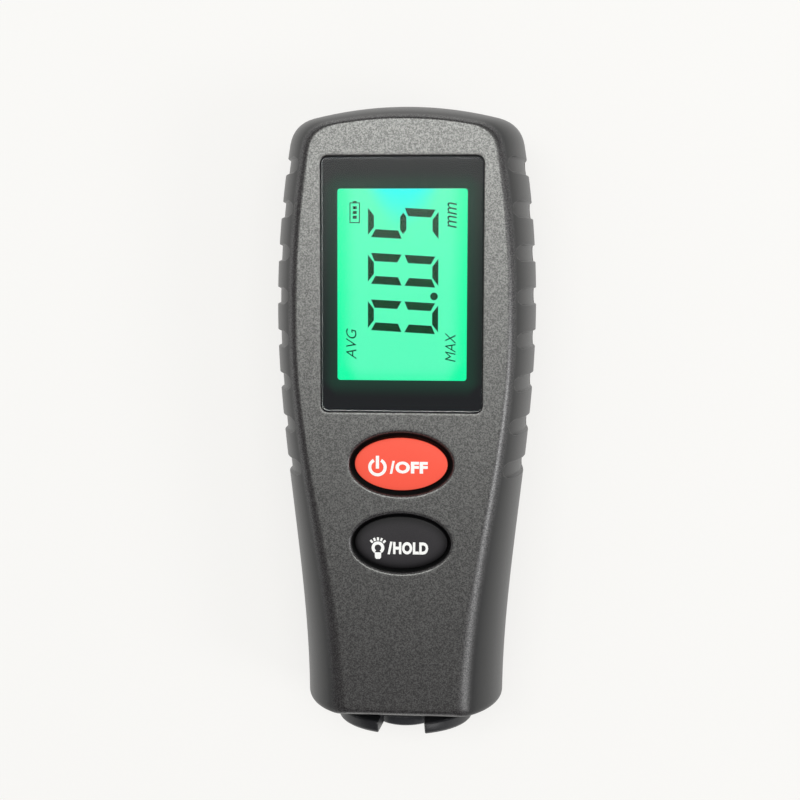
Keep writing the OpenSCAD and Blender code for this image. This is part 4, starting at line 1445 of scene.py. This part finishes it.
@dataclass
class Legend:
    """Symbol and word printed on a key."""

    key: Key
    icon: Icon
    word: str
    mark_x: float
    word_x: float
    word_size: Pair
    drop: float
    bold: float = 0.05
    grid: float = 0.4
    slash_gap: float = 0.55
    slash: tuple[Point, ...] = ((-0.4, -1.1), (0.0, -1.1), (0.45, 1.1), (0.05, 1.1))
    power_ring: tuple[float, float, float, float] = (1.05, 1.58, 118, 422)
    power_bar: tuple[Point, ...] = ((-0.28, -0.25), (0.28, -0.25), (0.28, 1.95), (-0.28, 1.95))
    bulb: tuple[float, float, float, float] = (0.56, 1.1, -55, 235)
    bulb_foot: tuple[Point, ...] = (
        (-0.56, -0.8), (0.56, -0.8), (0.52, -1.7), (0.3, -1.95), (-0.3, -1.95), (-0.52, -1.7),
    )
    rays: tuple[float, ...] = (45, 67.5, 90, 112.5, 135)
    ray: tuple[Point, ...] = ((1.26, 0.18), (1.26, -0.18), (1.82, -0.18), (1.82, 0.18))

    def dress(self, finish: Material) -> None:
        """Prints the legend on its key.

        Args:
            finish: Ink of the legend.
        """
        stamp, y = Stamp(self.key.name + "_legend"), self.key.y - self.drop
        middle = (self.mark_x, y)
        if self.icon is Icon.POWER:
            stamp.band(middle, *self.power_ring)
            stamp.outline(self.power_bar, middle)
        else:
            self.draw_lamp(stamp, middle)
        stamp.outline(self.slash, (self.word_x - self.word_size[0] / 2 - self.slash_gap, y))
        stamp.words(self.word, (self.word_x, y), self.word_size, 0.0, 0.0, self.bold)
        settle(stamp.lay(self.key.height, finish, self.grid), self.key.body, "white_plastic")

    def draw_lamp(self, stamp: Stamp, middle: Point) -> None:
        """Draws a bulb: a ring, its foot and its rays.

        Args:
            stamp: Print that it is added to.
            middle: Middle of the ring.
        """
        stamp.band(middle, *self.bulb)
        stamp.outline(self.bulb_foot, middle)
        for turn in self.rays:
            c, s = math.cos(math.radians(turn)), math.sin(math.radians(turn))
            stamp.outline([(c * r - s * side, s * r + c * side) for r, side in self.ray], middle)


class ShapeTree:
    """Geometry nodes with named inputs, which hang on an object as a modifier."""

    def __init__(self, name: str, inputs: dict[str, str], nodes: dict[str, str]) -> None:
        """Builds the tree with the wires of its end, where the shape is made solid and painted.

        Args:
            name: Name of the tree.
            inputs: Kind of each named input; the base adds the finish.
            nodes: Kind of each node, by a short name; the base adds "in", "solid", "paint" and "out".
        """
        self.tree = bpy.data.node_groups.new(name, "GeometryNodeTree")
        face = self.tree.interface
        self.sockets = {
            key: face.new_socket(name=key, in_out="INPUT", socket_type="NodeSocket" + kind).identifier
            for key, kind in {**inputs, "Finish": "Material"}.items()
        }
        face.new_socket(name="Shape", in_out="OUTPUT", socket_type="NodeSocketGeometry")
        own = {"in": "NodeGroupInput", "solid": "GeometryNodeRealizeInstances",
               "paint": "GeometryNodeSetMaterial", "out": "NodeGroupOutput"}
        self.nodes = {key: self.tree.nodes.new(kind) for key, kind in {**own, **nodes}.items()}
        self.wire(
            ("solid", 0, "paint", "Geometry"), ("in", "Finish", "paint", "Material"), ("paint", 0, "out", 0)
        )

    def wire(self, *rows: tuple[str, int | str, str, int | str]) -> None:
        """Joins the nodes by rows of source, its output, target and its input."""
        for source, output, target, entry in rows:
            self.tree.links.new(self.nodes[source].outputs[output], self.nodes[target].inputs[entry])

    def hang(self, carrier: Object, **values: Any) -> None:
        """Hangs the tree on an object.

        Args:
            carrier: The object.
            values: Values of the inputs, with _ for a space in a name.
        """
        modifier = carrier.modifiers.new(self.tree.name, "NODES")
        modifier.node_group = self.tree
        for key, value in values.items():
            modifier[self.sockets[key.replace("_", " ")]] = value


class CopyTree(ShapeTree):
    """Geometry nodes that put copies of a pattern on points, turned and stretched at each."""

    def __init__(self) -> None:
        """Builds the tree."""
        super().__init__(
            "copies_on_points",
            {"Points": "Geometry", "Pattern": "Object"},
            {
                "pattern": "GeometryNodeObjectInfo",
                "spread": "GeometryNodeInstanceOnPoints",
                "turn": "GeometryNodeInputNamedAttribute",
                "stretch": "GeometryNodeInputNamedAttribute",
                "rotate": "FunctionNodeEulerToRotation",
            },
        )
        for key in ("turn", "stretch"):
            self.nodes[key].data_type = "FLOAT_VECTOR"
            self.nodes[key].inputs["Name"].default_value = key
        self.wire(
            ("in", "Points", "spread", "Points"),
            ("in", "Pattern", "pattern", "Object"),
            ("pattern", "Geometry", "spread", "Instance"),
            ("turn", "Attribute", "rotate", 0),
            ("rotate", 0, "spread", "Rotation"),
            ("stretch", "Attribute", "spread", "Scale"),
            ("spread", 0, "solid", 0),
        )

    def bake(
        self, name: str, pattern: Skin, spots: Sequence[Point], finish: Material,
        turns: Sequence[Point], stretches: Sequence[Point] | None = None,
    ) -> Object:
        """Makes one plain mesh of all the copies.

        Args:
            name: Name of the piece.
            pattern: Shape that is copied, round its own origin.
            spots: Places of the copies.
            finish: Their material.
            turns: Turn of each copy round each axis, in radians.
            stretches: Stretch of each copy along each axis; none leaves them as they are.

        Returns:
            The piece.
        """
        shape = pattern.piece(name + "_pattern", finish)
        mesh = bpy.data.meshes.new(name + "_points")
        mesh.from_pydata([tuple(c * MM for c in s) for s in spots], [], [])
        for key, values in (("turn", turns), ("stretch", stretches or [(1, 1, 1)] * len(spots))):
            flat = np.array(values, np.float32).ravel()
            mesh.attributes.new(key, "FLOAT_VECTOR", "POINT").data.foreach_set("vector", flat)
        carrier = linked(name + "_points", mesh)
        self.hang(carrier, Pattern=shape, Finish=finish)
        return bake_piece(name, carrier, finish, [shape])


class CoilTree(ShapeTree):
    """Geometry nodes that wind a wire into a coil along Z."""

    def __init__(self) -> None:
        """Builds the tree."""
        super().__init__(
            "wound_wire",
            {"Turns": "Float", "Coil radius": "Float", "Length": "Float", "Wire radius": "Float"},
            {
                "spiral": "GeometryNodeCurveSpiral",
                "wire": "GeometryNodeCurvePrimitiveCircle",
                "sweep": "GeometryNodeCurveToMesh",
            },
        )
        self.nodes["spiral"].inputs["Resolution"].default_value = 36
        self.nodes["wire"].inputs["Resolution"].default_value = 12
        self.nodes["sweep"].inputs["Fill Caps"].default_value = True
        self.wire(
            ("in", "Turns", "spiral", "Rotations"),
            ("in", "Coil radius", "spiral", "Start Radius"),
            ("in", "Coil radius", "spiral", "End Radius"),
            ("in", "Length", "spiral", "Height"),
            ("in", "Wire radius", "wire", "Radius"),
            ("spiral", "Curve", "sweep", "Curve"),
            ("wire", "Curve", "sweep", "Profile Curve"),
            ("sweep", "Mesh", "solid", 0),
        )

    def wind(self, turns: float, coil_r: float, length: float, wire_r: float, finish: Material) -> Mesh:
        """Plain mesh of one coil along Z from 0.

        Args:
            turns: Number of turns.
            coil_r: Radius at the middle of the wire.
            length: Length over the wire.
            wire_r: Radius of the wire.
            finish: Material of the wire.

        Returns:
            The mesh, in metres.
        """
        carrier = linked("coil", bpy.data.meshes.new("coil"))
        run = (length - 2 * wire_r) * MM
        sizes = {"Coil_radius": coil_r * MM, "Length": run, "Wire_radius": wire_r * MM}
        self.hang(carrier, Turns=turns, Finish=finish, **sizes)
        mesh = evaluated(carrier)
        mesh.transform(Matrix.Translation((0, 0, wire_r * MM)))
        bpy.data.objects.remove(carrier)
        return mesh


class Bar(Enum):
    """Kinds of bars in a figure."""

    SIDE = "side"
    END = "end"
    MIDDLE = "middle"


@dataclass
class Display:
    """Lens, border and lit panel with its figures."""

    y: float = Case.display_y
    lens: Triple = (27.1, 42.7, 1.1)
    lens_z: Pair = (25.6, 26.8)
    lens_foot: float = 0.12
    lens_edge: float = 0.14
    lens_margin: float = 0.6
    lens_sharp: float = 50.0
    window: Pair = (21.9, 32.2)
    panel_z: float = 24.6
    print_gap: float = 0.01
    print_t: float = 0.05
    digit_top: float = -5.85
    digit_foot: float = 6.05
    digit_w: float = 5.2
    side_bar: float = 1.35
    end_bar: float = 1.0
    middle_bar: float = 1.05
    mitres: Triple = (0.5, 1.3, 1.4)
    side_from_end: float = 0.52
    side_from_middle: float = 0.24
    end_from_side: float = 0.35
    middle_from_side: float = 0.8
    lean: float = 0.057
    digits: tuple[tuple[str, float], ...] = (("0", 16.0), ("0", 23.85), ("5", 31.7))
    lit: dict[str, str] = field(default_factory=lambda: {"0": "abcdef", "5": "acdfg"})
    point: Pair = (5.35, 22.4)
    point_r: float = 0.64
    sign_words: tuple[tuple[str, Point, Point, float], ...] = (
        ("mm", (8.3, 36.0), (4.3, 1.55), 0.0),
        ("AVG", (-8.7, 14.3), (5.2, 1.75), -0.006),
        ("MAX", (8.15, 13.8), (4.9, 1.75), -0.006),
    )
    sign_lean: float = 0.25
    battery: Pair = (-8.1, 36.4)
    battery_size: Triple = (1.6, 3.3, 0.16)
    battery_knob: Triple = (0.2, 0.6, 0.26)
    battery_bars: tuple[float, ...] = (-0.75, 0.05, 0.85)
    battery_bar: Pair = (0.66, 0.5)

    def dress(self, finishes: Materials, copies: CopyTree) -> None:
        """Makes the lens and the figures.

        Args:
            finishes: The materials.
            copies: Tree that repeats the bars of the figures.
        """
        skin, (low, high) = Skin(), self.lens_z
        foot, edge, margin = self.lens_foot, self.lens_edge, self.lens_margin
        profile = [(-margin, low), (-foot, low), (0.0, low + foot), (0.0, high - edge)]
        for a in np.radians((30, 60, 90)):
            profile.append((-edge * (1 - math.cos(a)), high - edge * (1 - math.sin(a))))
        profile.append((-margin, high))
        skin.solid([rounded(self.lens, self.y, g, z) for g, z in profile])
        piece = skin.piece("lens", finishes["lens"], self.lens_sharp)
        settle(piece, Body.HOUSING, "lens", "display_lens")
        ink = finishes["segment"]
        figures = [*(self.bars(kind, ink, copies) for kind in Bar), self.small_signs(ink)]
        for thing in figures:
            settle(thing, Body.HOUSING, "display")

    def place(self, along: float, up: float) -> Pair:
        """Place on the panel of a point in the line of figures, which reads towards +Y."""
        return self.digit_foot - up, along + self.lean * up

    def bars(self, kind: Bar, ink: Material, copies: CopyTree) -> Object:
        """All the figures' bars of one kind.

        Args:
            kind: Kind of bar.
            ink: Material of the bars.
            copies: Tree that repeats the bar.

        Returns:
            The piece.
        """
        tall = self.digit_foot - self.digit_top
        half, shape, flat = tall / 2, Skin(), self.bar_outline(kind)
        shape.solid([[(x, y, z) for x, y in flat] for z in (0.0, self.print_t)])
        quarter = (half + self.side_from_middle - self.side_from_end) / 2
        high, low = half + quarter, half - quarter
        places = {
            Bar.SIDE: (("b", 1, high), ("c", 1, low), ("e", 0, low), ("f", 0, high)),
            Bar.END: (("a", 0.5, tall), ("d", 0.5, 0.0)),
            Bar.MIDDLE: (("g", 0.5, half),),
        }
        spots, turns, stretches = [], [], []
        for figure, start in self.digits:
            for segment, across, up in places[kind]:
                if segment not in self.lit[figure]:
                    continue
                x, y = self.place(start + across * self.digit_w, up)
                outward = across > 0.5 if kind is Bar.SIDE else up > 0
                spots.append((x, y, self.panel_z + self.print_gap))
                turns.append((0, 0, -self.lean if kind is Bar.SIDE else math.pi / 2))
                stretches.append((1, 1 if outward else -1, 1))
        return copies.bake("figure_bars_" + kind.value, shape, spots, ink, turns, stretches)

    def bar_outline(self, kind: Bar) -> list[Pair]:
        """Outline of a bar along X, with its outer edge on y = 0 or, for the middle one, its axis.

        Args:
            kind: Kind of bar.

        Returns:
            Points of the outline.
        """
        side, end, middle = self.mitres
        if kind is Bar.SIDE:
            run = (self.digit_foot - self.digit_top) / 2 - self.side_from_end - self.side_from_middle
            t, mitre = self.side_bar, self.side_bar * side
        elif kind is Bar.END:
            run, t = self.digit_w - 2 * self.end_from_side, self.end_bar
            mitre = t * end
        else:
            run, t = self.digit_w - 2 * self.middle_from_side, self.middle_bar / 2
            mitre = t * middle
            upper = [(run / 2, 0), (run / 2 - mitre, t), (mitre - run / 2, t), (-run / 2, 0)]
            return upper + [(mitre - run / 2, -t), (run / 2 - mitre, -t)]
        return [(-run / 2, 0), (mitre - run / 2, -t), (run / 2 - mitre, -t), (run / 2, 0)]

    def small_signs(self, ink: Material) -> Object:
        """Point, unit, plain mode words and battery sign.

        Args:
            ink: Material of the signs.

        Returns:
            The piece.
        """
        stamp = Stamp("display_signs", self.print_t, 0.0)
        stamp.dot(self.point, self.point_r)
        for text, middle, size, bold in self.sign_words:
            stamp.words(text, middle, size, 90, self.sign_lean, bold)
        (w, l, t), (rise, knob_w, knob_l) = self.battery_size, self.battery_knob
        boxes = [(s * w / 2, 0, t, l) for s in (-1, 1)]
        boxes += [(0, s * l / 2, w + t, t) for s in (-1, 1)]
        boxes += [(0, l / 2 + rise, knob_w, knob_l)]
        boxes += [(0, dy, *self.battery_bar) for dy in self.battery_bars]
        for dx, dy, wide, long in boxes:
            corners = ((-1, -1), (1, -1), (1, 1), (-1, 1))
            stamp.outline([(dx + wide / 2 * sx, dy + long / 2 * sy) for sx, sy in corners], self.battery)
        return stamp.lay(lambda x, y: self.panel_z + self.print_gap, ink)


@dataclass
class Fittings:
    """Door, probe, screws and battery contacts."""

    screw_spots: tuple[Pair, ...] = Case.screw_spots
    screw_turns: tuple[float, ...] = (0.4, 1.1, 0.2, 0.8)
    head_z: Pair = (7.2, 8.8)
    head_r: float = 2.1
    head_profile: tuple[Point, ...] = ((0.45, 0.0), (0.2, 0.1), (0.05, 0.3), (0.0, 0.55))
    head_sides: int = 32
    cross_arm: float = 1.25
    cross_half: float = 0.32
    cross_depth: float = 0.85
    cross_taper: float = 0.8
    shank_r: float = 1.1
    shank_to: float = 10.2
    cell_x: float = 5.6
    cell_z: float = 7.6
    spring_y: Pair = (-30.1, 19.1)
    spring_turns: float = 3.5
    spring_r: float = 3.2
    spring_l: float = 4.7
    spring_wire_r: float = 0.4
    merge: float = 1e-6
    flat_within: float = 0.6
    bevel_past: float = 35.0
    bevel_sharp: float = 15.0

    def dress(self, frame: dict, finishes: Materials, copies: CopyTree, coils: CoilTree) -> None:
        """Makes the pieces and puts them in place of their solids.

        Args:
            frame: The loaded frame.
            finishes: The materials.
            copies: Tree that repeats the screws.
            coils: Tree that winds the springs.
        """
        rows = (
            ("battery_door", "door_panel", 0.18, "case", Body.DOOR, "case"),
            ("probe_collar", "collar", 0.22, "collar", Body.HOUSING, "collar"),
            ("probe_sleeve", "sleeve", 0.12, "sleeve", Body.PROBE, "sleeve"),
            ("probe_core", "core_pin", 0.08, "steel", Body.PROBE, "core"),
        )
        for node, name, width, finish, body, slot in rows:
            piece = self.softened(frame["nodes"][node].data, name, width, finishes[finish])
            settle(piece, body, slot, node)
        spots = [(x, y, self.head_z[0]) for x, y in self.screw_spots]
        turns = [(0, 0, a) for a in self.screw_turns]
        screws = copies.bake("case_screw_heads", self.screw_pattern(), spots, finishes["steel"], turns)
        settle(screws, Body.HOUSING, "screw", "case_screws")
        self.contact_springs(finishes["spring"], coils)

    def softened(self, solid: Mesh, name: str, width: float, finish: Material) -> Object:
        """Copy of a solid with its sharp edges rounded, as a moulded or turned piece has.

        Args:
            solid: Mesh of the solid.
            name: Name of the piece.
            width: Width of the rounding.
            finish: Material of the piece.

        Returns:
            The piece.
        """
        form = bmesh.new()
        form.from_mesh(solid)
        bmesh.ops.remove_doubles(form, verts=form.verts, dist=self.merge)
        limit = math.radians(self.flat_within)
        bmesh.ops.dissolve_limit(form, angle_limit=limit, verts=form.verts, edges=form.edges)
        mesh = bpy.data.meshes.new(name)
        form.to_mesh(mesh)
        form.free()
        carrier = linked(name + "_carrier", mesh)
        bevel = carrier.modifiers.new("edges", "BEVEL")
        bevel.width, bevel.segments = width * MM, 2
        bevel.limit_method, bevel.angle_limit = "ANGLE", math.radians(self.bevel_past)
        bevel.use_clamp_overlap = True
        return bake_piece(name, carrier, finish, [], self.bevel_sharp)

    def screw_pattern(self) -> Skin:
        """Builds one pan head with a cross recess and its shank, head down, from z = 0 up.

        Returns:
            The screw.
        """
        skin, r, h = Skin(), self.head_r, self.head_z[1] - self.head_z[0]
        arm, half, taper = self.cross_arm, self.cross_half, self.cross_taper
        quarter = ((arm, -half), (arm, half), (half, half))
        turns = ((1, 0), (0, 1), (-1, 0), (0, -1))
        cross = [(c * x - s * y, s * x + c * y) for c, s in turns for x, y in quarter]
        sunk = [(x * taper, y * taper, self.cross_depth) for x, y in cross]
        mouth, end = skin.tube([[(x, y, 0.0) for x, y in cross], sunk])
        skin.cap(end)
        steps = [(r - inset, z) for inset, z in self.head_profile]
        steps += [(r, h), (self.shank_r, h), (self.shank_r, self.shank_to)]
        rim, foot = skin.tube([circle(q, 0, 0, z, self.head_sides) for q, z in steps])
        skin.sheet(rim, [mouth])
        skin.cap(foot)
        return skin

    def contact_springs(self, finish: Material, coils: CoilTree) -> None:
        """Winds the two battery springs.

        Args:
            finish: Material of the springs.
            coils: Tree that winds them.
        """
        whole = bpy.data.meshes.new("contact_springs")
        form = bmesh.new()
        for way, y in zip((1, -1), self.spring_y):
            sizes = (self.spring_turns, self.spring_r, self.spring_l, self.spring_wire_r)
            mesh = coils.wind(*sizes, finish)
            turn = Matrix.Rotation(math.radians(-90 * way), 4, "X")
            mesh.transform(Matrix.Translation(Vector((way * self.cell_x, y, self.cell_z)) * MM) @ turn)
            form.from_mesh(mesh)
            bpy.data.meshes.remove(mesh)
        form.to_mesh(whole)
        form.free()
        piece = piece_from_mesh("contact_springs", whole, finish)
        settle(piece, Body.HOUSING, "contact", "battery_springs")


@dataclass(frozen=True)
class ViewPoint:
    """Where the camera stands, in millimetres, and its lens."""

    place: Triple = (17.15, 27.71, 261.6)
    aim: Triple = (-0.72, 4.30, 20.0)
    up: Triple = (-0.0099, 0.9954, -0.0957)
    lens: float = 63.0
    sensor: float = 36.0
    nearest: float = 10.0

    def set_up(self) -> None:
        """Makes the camera and looks through it."""
        data = bpy.data.cameras.new("camera")
        data.lens, data.sensor_width, data.clip_start = self.lens, self.sensor, self.nearest * MM
        camera = linked("camera", data)
        back = (Vector(self.place) - Vector(self.aim)).normalized()
        right = Vector(self.up).cross(back).normalized()
        turn = Matrix((right, back.cross(right), back)).transposed().to_4x4()
        camera.matrix_world = Matrix.Translation(Vector(self.place) * MM) @ turn
        bpy.context.scene.camera = camera


def flat_sheet(name: str, half_w: float, near: float, far: float, z: float, finish: Material) -> Object:
    """Level sheet of the stage, in metres.

    Args:
        name: Name of the sheet.
        half_w: Half of its width.
        near: Its end on the probe's side.
        far: Its end on the display's side.
        z: Its height.
        finish: Its material.

    Returns:
        The sheet.
    """
    mesh = bpy.data.meshes.new(name)
    corners = [(-half_w, near, z), (half_w, near, z), (half_w, far, z), (-half_w, far, z)]
    mesh.from_pydata(corners, [], [(0, 1, 2, 3)])
    mesh.materials.append(finish)
    sheet = linked(name, mesh)
    return sheet


@dataclass(frozen=True)
class SoftPanel:
    """Broad panel overhead that glows more and more towards the display end, in metres."""

    half_w: float = 0.33
    near: float = -0.12
    far: float = 0.3
    height: float = 0.75
    dark_at: float = -0.05
    full_at: float = 0.26
    dark: Colour = (0.01, 0.01, 0.01, 1.0)
    colour: Colour = (0.985, 1.0, 0.95, 1.0)
    strength: float = 8.3

    def set_up(self) -> None:
        """Makes the panel, which the camera doesn't see."""
        graph = Graph("panel_glow")
        _, y, _ = graph.axes()
        glow = graph.mix(y.ramp(self.dark_at, self.full_at), self.dark, self.colour)
        light = graph.add("ShaderNodeEmission", {"Color": glow, "Strength": self.strength})
        panel = flat_sheet("soft_panel", self.half_w, self.near, self.far, self.height, graph.close(light))
        panel.visible_camera = False


@dataclass(frozen=True)
class Tent:
    """Dim tent that gloss shows overhead, with the white floor below it, in metres and degrees."""

    radius: float = 1.4
    lowest: float = 10.0
    highest: float = 88.0
    rings: int = 12
    sides: int = 48
    glow: Colour = (0.07, 0.062, 0.068, 1.0)

    def set_up(self) -> None:
        """Makes the tent, which only gloss and glass show."""
        graph = Graph("tent_dim")
        finish = graph.close(graph.add("ShaderNodeEmission", {"Color": self.glow, "Strength": 1.0}))
        finish.cycles.emission_sampling = "NONE"
        skin, size = Skin(), self.radius / MM
        turns = np.radians(np.linspace(self.lowest, self.highest, self.rings))
        loops = [circle(size * math.cos(a), 0, 0, size * math.sin(a), self.sides) for a in turns]
        skin.cap(skin.tube(loops)[1])
        tent = skin.piece("tent", finish)
        tent.visible_camera = tent.visible_diffuse = tent.visible_shadow = False


@dataclass(frozen=True)
class Lamp:
    """A soft area light, in metres and watts."""

    name: str = "edge_light"
    place: Triple = (0.62, -0.16, 0.55)
    size: float = 0.3
    power: float = 1.5

    def set_up(self) -> None:
        """Makes the light and aims it at the object."""
        data = bpy.data.lights.new(self.name, "AREA")
        data.shape, data.size, data.energy = "DISK", self.size, self.power
        turn = Vector(self.place).to_track_quat("Z", "Y").to_matrix().to_4x4()
        linked(self.name, data).matrix_world = Matrix.Translation(self.place) @ turn


@dataclass
class Stage:
    """Pale floor, white surroundings and soft light, in metres."""

    floor_half: float = 6.0
    floor_z: float = -0.0001
    paper: Colour = tint(244, 243, 241)
    fibre: Colour = tint(248, 247, 246)
    white: Colour = tint(252, 251, 249)
    shadow_to: Pair = (0.12, 0.4)
    contact: Pair = (0.0004, 0.0008)
    panel: SoftPanel = field(default_factory=SoftPanel)
    tent: Tent = field(default_factory=Tent)
    lamp: Lamp = field(default_factory=Lamp)
    ambient: float = 0.42
    floor_glow: float = 0.78

    def set_up(self) -> None:
        """Makes the floor, the surroundings and the lights."""
        scene, half = bpy.context.scene, self.floor_half
        scene.view_settings.view_transform = "Standard"
        flat_sheet("floor", half, -half, half, self.floor_z, self.floor_finish())
        for light in (self.panel, self.tent, self.lamp):
            light.set_up()
        scene.world = self.surroundings()

    def floor_finish(self) -> Material:
        """Sets matt pale paper that keeps the object's shadow, looks near white and is clear from below.

        Returns:
            The material.
        """
        graph = Graph("floor_paper")
        colour = graph.mix(graph.noise(0.8, 3.0), self.paper, self.fibre)
        matt = graph.add("ShaderNodeBsdfDiffuse", {"Color": colour})
        white = graph.add("ShaderNodeEmission", {"Color": self.white, "Strength": 1.0})
        x, y, _ = graph.axes()
        away = (x * x + y * y).ramp(self.shadow_to[0] ** 2, self.shadow_to[1] ** 2)
        share = graph.seen_directly() * (self.floor_glow + away * (1 - self.floor_glow))
        paper = graph.blend(share, matt, white)
        below = graph.signal("ShaderNodeNewGeometry", "Backfacing")
        reach = graph.signal("ShaderNodeLightPath", "Ray Length")
        clear = (below + (1 - reach.ramp(*self.contact))).ramp(0.0, 1.0)
        finish = graph.close(graph.blend(clear, paper, graph.add("ShaderNodeBsdfTransparent")))
        finish.cycles.emission_sampling = "NONE"
        return finish

    def surroundings(self) -> World:
        """Sets white surroundings that light the object faintly.

        Returns:
            The world.
        """
        graph = Graph("surroundings", True)
        strength = self.ambient + graph.seen_directly() * (1 - self.ambient)
        sky = {"Color": (1.0, 1.0, 1.0, 1.0), "Strength": strength}
        return graph.close(graph.add("ShaderNodeBackground", sky))


def make_finishes(display: Display, fittings: Fittings) -> Materials:
    """All the materials, by the names that the pieces use.

    Args:
        display: The display, whose panel glows and whose border has a painted glow.
        fittings: The fittings, whose springs stand at the cells' ends.

    Returns:
        The materials.
    """
    window = Window(display.y, display.window[0] / 2, display.window[1] / 2)
    finishes = {
        "case": CaseGrain(),
        "lens": ClearLens(),
        "border": BorderFilm("border_black", window),
        "panel": LitPanel("display_glow", window),
        "segment": PrintedInk("segment_dark", tint(24, 82, 52), tint(30, 90, 58), 0.6, 0.0),
        "red_key": MouldedPlastic(
            "red_plastic", tint(255, 92, 72), tint(255, 102, 82), 0.5, 0.16, 0.008, 0.2,
            # painted shade low on the red key, where the dish shades its skirt
            tint(62, 24, 20), (26.4, 26.62),
        ),
        "black_key": MouldedPlastic(
            "black_plastic", tint(52, 50, 53), tint(66, 64, 67), 0.45, 0.16, 0.008, 0.15,
            # painted shade round the black key's rim, where the dish shades it
            tint(22, 21, 23), (26.27, 26.46),
        ),
        "legend": PrintedInk("legend_white", tint(255, 255, 254), tint(244, 243, 242)),
        "collar": MouldedPlastic("collar_plastic", tint(30, 30, 33), tint(52, 52, 56), 0.4, 0.22),
        "sleeve": MouldedPlastic("sleeve_plastic", tint(44, 45, 49), tint(62, 63, 68), 0.36, 0.2, 0.01),
        "steel": DrawnMetal("bright_steel", tint(196, 198, 202), tint(158, 160, 164)),
        "spring": DrawnMetal("spring_steel", tint(206, 206, 204), tint(160, 158, 152), 0.24, (1, 1, 1)),
        "brass": DrawnMetal("plate_brass", tint(214, 180, 110), tint(168, 132, 74), 0.3, (1, 1, 0.1)),
        "copper": DrawnMetal("copper_wire", tint(196, 108, 62), tint(140, 70, 40), 0.34, (1, 8, 1)),
        "white": MouldedPlastic("white_plastic", tint(226, 226, 220), tint(240, 240, 236), 0.4, 0.3, 0.01),
        "guide": MouldedPlastic("light_guide", tint(222, 240, 228), tint(240, 250, 244), 0.22, 0.5, 0.004),
        "rubber": MouldedPlastic(
            "contact_rubber", tint(206, 150, 140), tint(224, 176, 168), 0.7, 0.12, 0.01
        ),
        "board": CircuitLaminate(),
        "chip": MouldedPlastic("chip_epoxy", tint(28, 28, 30), tint(48, 48, 50), 0.55, 0.12, 0.01),
        "ceramic": MouldedPlastic(
            "ceramic_body", tint(160, 130, 92), tint(188, 160, 122), 0.5, 0.14, 0.008
        ),
        "lead": MouldedPlastic("lead_sheath", tint(130, 40, 36), tint(156, 62, 56), 0.45, 0.2, 0.008),
        "cell_left": CellJacket("cell_jacket_left", *fittings.spring_y, False),
        "cell_right": CellJacket("cell_jacket_right", *fittings.spring_y, True),
    }
    return {name: finish.make() for name, finish in finishes.items()}


SOLID_FINISHES = {
    "border": ("border_film",),
    "panel": ("lcd_panel",),
    "guide": ("backlight_panel",),
    "white": ("display_frame", "power_switch_stem", "unit_switch_stem", "probe_connector"),
    "rubber": ("zebra_strips",),
    "board": ("circuit_board",),
    "chip": ("controller_chip", "power_switch_body", "unit_switch_body"),
    "steel": ("crystal_can", "board_screws"),
    "ceramic": ("capacitors",),
    "copper": ("probe_coil",),
    "spring": ("probe_spring",),
    "collar": ("probe_cap",),
    "lead": ("probe_lead",),
    "cell_left": ("battery_left",),
    "cell_right": ("battery_right",),
    "brass": ("battery_plates",),
}


def paint_solids(frame: dict, finishes: Materials) -> None:
    """Gives each solid that stays its finish.

    Args:
        frame: The loaded frame.
        finishes: The materials.
    """
    for finish, nodes in SOLID_FINISHES.items():
        for node in nodes:
            thing = frame["nodes"][node]
            if not thing.material_slots:
                thing.data.materials.append(finishes[finish])
            for slot in thing.material_slots:
                slot.material = finishes[finish]
            LOG.info("%s painted with %s", node, finish)


def main() -> None:
    """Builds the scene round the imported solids."""
    logging.basicConfig(level=logging.INFO, format="%(name)s: %(message)s")
    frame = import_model()
    ViewPoint().set_up()
    Stage().set_up()
    case, display, fittings = Case(), Display(), Fittings()
    finishes = make_finishes(display, fittings)
    copies, coils = CopyTree(), CoilTree()
    paint_solids(frame, finishes)
    case.dress(finishes["case"])
    display.dress(finishes, copies)
    upper, lower = case.key_places
    power = Key("power_key_cap", "power_button", Body.POWER_KEY, "red_key", upper)
    unit = Key("unit_key_cap", "unit_button", Body.UNIT_KEY, "black_key", lower, rim_z=26.2, crown=0.3)
    power.dress(finishes["red_key"])
    unit.dress(finishes["black_key"])
    Legend(power, Icon.POWER, "OFF", -4.0, 1.8, (5.5, 2.05), 0.5).dress(finishes["legend"])
    Legend(unit, Icon.LAMP, "HOLD", -3.95, 1.65, (6.0, 2.15), 0.9).dress(finishes["legend"])
    fittings.dress(frame, finishes, copies, coils)


if __name__ == "__main__":
    main()
